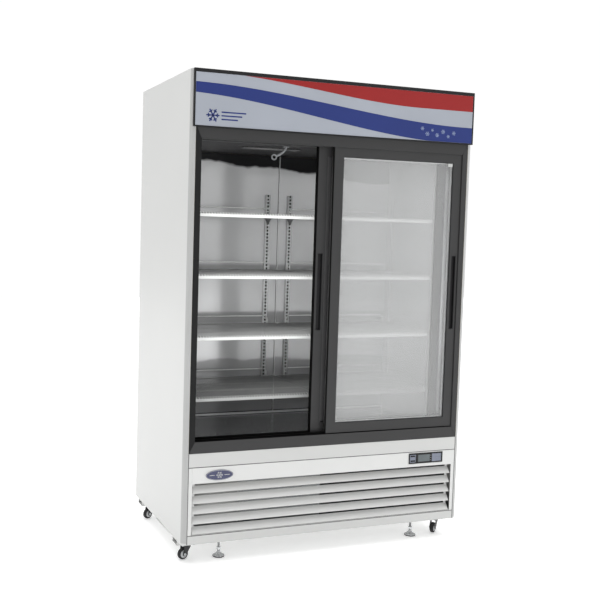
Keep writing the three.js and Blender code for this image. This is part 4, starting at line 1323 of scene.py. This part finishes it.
def make_floor():
    mesh = bpy.data.meshes.new("floor")
    size = 14.0
    mesh.from_pydata(
        [(-size, -size, 0), (size, -size, 0), (size, size, 0), (-size, size, 0)], [],
        [(0, 1, 2, 3)],
    )
    glow = {"Emission_Color": (1, 1, 1, 1), "Emission_Strength": 0.36}
    pale = surface("pale_floor", (0.93, 0.93, 0.93), 0.8, mottle=0.004, patch=0.4, bump=0.0, **glow)
    mesh.materials.append(pale)
    floor = bpy.data.objects.new("floor", mesh)
    bpy.context.scene.collection.objects.link(floor)
    floor.location.z = -0.0005


def area_light(name, place_at, look_at, size, power, color=(1, 1, 1)):
    data = bpy.data.lights.new(name, "AREA")
    data.shape = "RECTANGLE"
    data.size, data.size_y = size
    data.energy = power
    data.color = color
    light = bpy.data.objects.new(name, data)
    bpy.context.scene.collection.objects.link(light)
    light.visible_camera = False
    light.location = place_at
    light.rotation_mode = "QUATERNION"
    light.rotation_quaternion = (Vector(look_at) - Vector(place_at)).to_track_quat("-Z", "Y")
    return light


def make_studio():
    """White beyond the cabinet, dimmer behind the viewer, so that the front reads darker than the side."""
    world = bpy.data.worlds.new("studio")
    world.use_nodes = True
    nodes, links = world.node_tree.nodes, world.node_tree.links
    coords = nodes.new("ShaderNodeTexCoord")
    split = nodes.new("ShaderNodeSeparateXYZ")
    links.new(coords.outputs["Generated"], split.inputs["Vector"])
    depth = spread(nodes, links, split.outputs["Y"], 0.60, 1.02, -0.45, 0.45)
    across = spread(nodes, links, split.outputs["X"], 0.68, 1.0, -0.7, 0.0)
    strength = combined(nodes, links, "MULTIPLY", depth, across)
    links.new(strength, nodes["Background"].inputs["Strength"])
    nodes["Background"].inputs["Color"].default_value = (1.0, 1.0, 1.0, 1)
    bpy.context.scene.world = world
    sun = bpy.data.lights.new("overhead", "SUN")
    sun.energy = 1.8
    sun.angle = math.radians(70)
    overhead = bpy.data.objects.new("overhead", sun)
    bpy.context.scene.collection.objects.link(overhead)
    area_light("key", (-5.0, -2.2, 2.6), (0, 0, 1.1), (2.6, 2.6), 12)
    area_light("fill", (3.4, -4.2, 2.4), (0, 0, 1.0), (2.4, 3.0), 10)
    for side, sign in SIDES:
        x, y = sign * 0.32, FRONT + 0.098
        glow = area_light(f"case_light_{side}", (x, y, 1.40), (x, y + 1.0, 1.34), (0.56, 1.10), 2.1)
        glow.visible_glossy = False
    bpy.context.scene.view_settings.view_transform = "Standard"


random.seed(7)
finish_cabinet_nodes()
make_shelves()
shelf_clips()
make_pilasters()
make_back_seam()
make_header_graphic()
make_door_details()
make_track_liners()
make_interior()
make_badge()
make_controller_face()
make_screws()
make_bay_lining()
make_seams()
make_mitres()
make_casters()
make_levellers()
make_caster_plates()
make_floor()
make_studio()
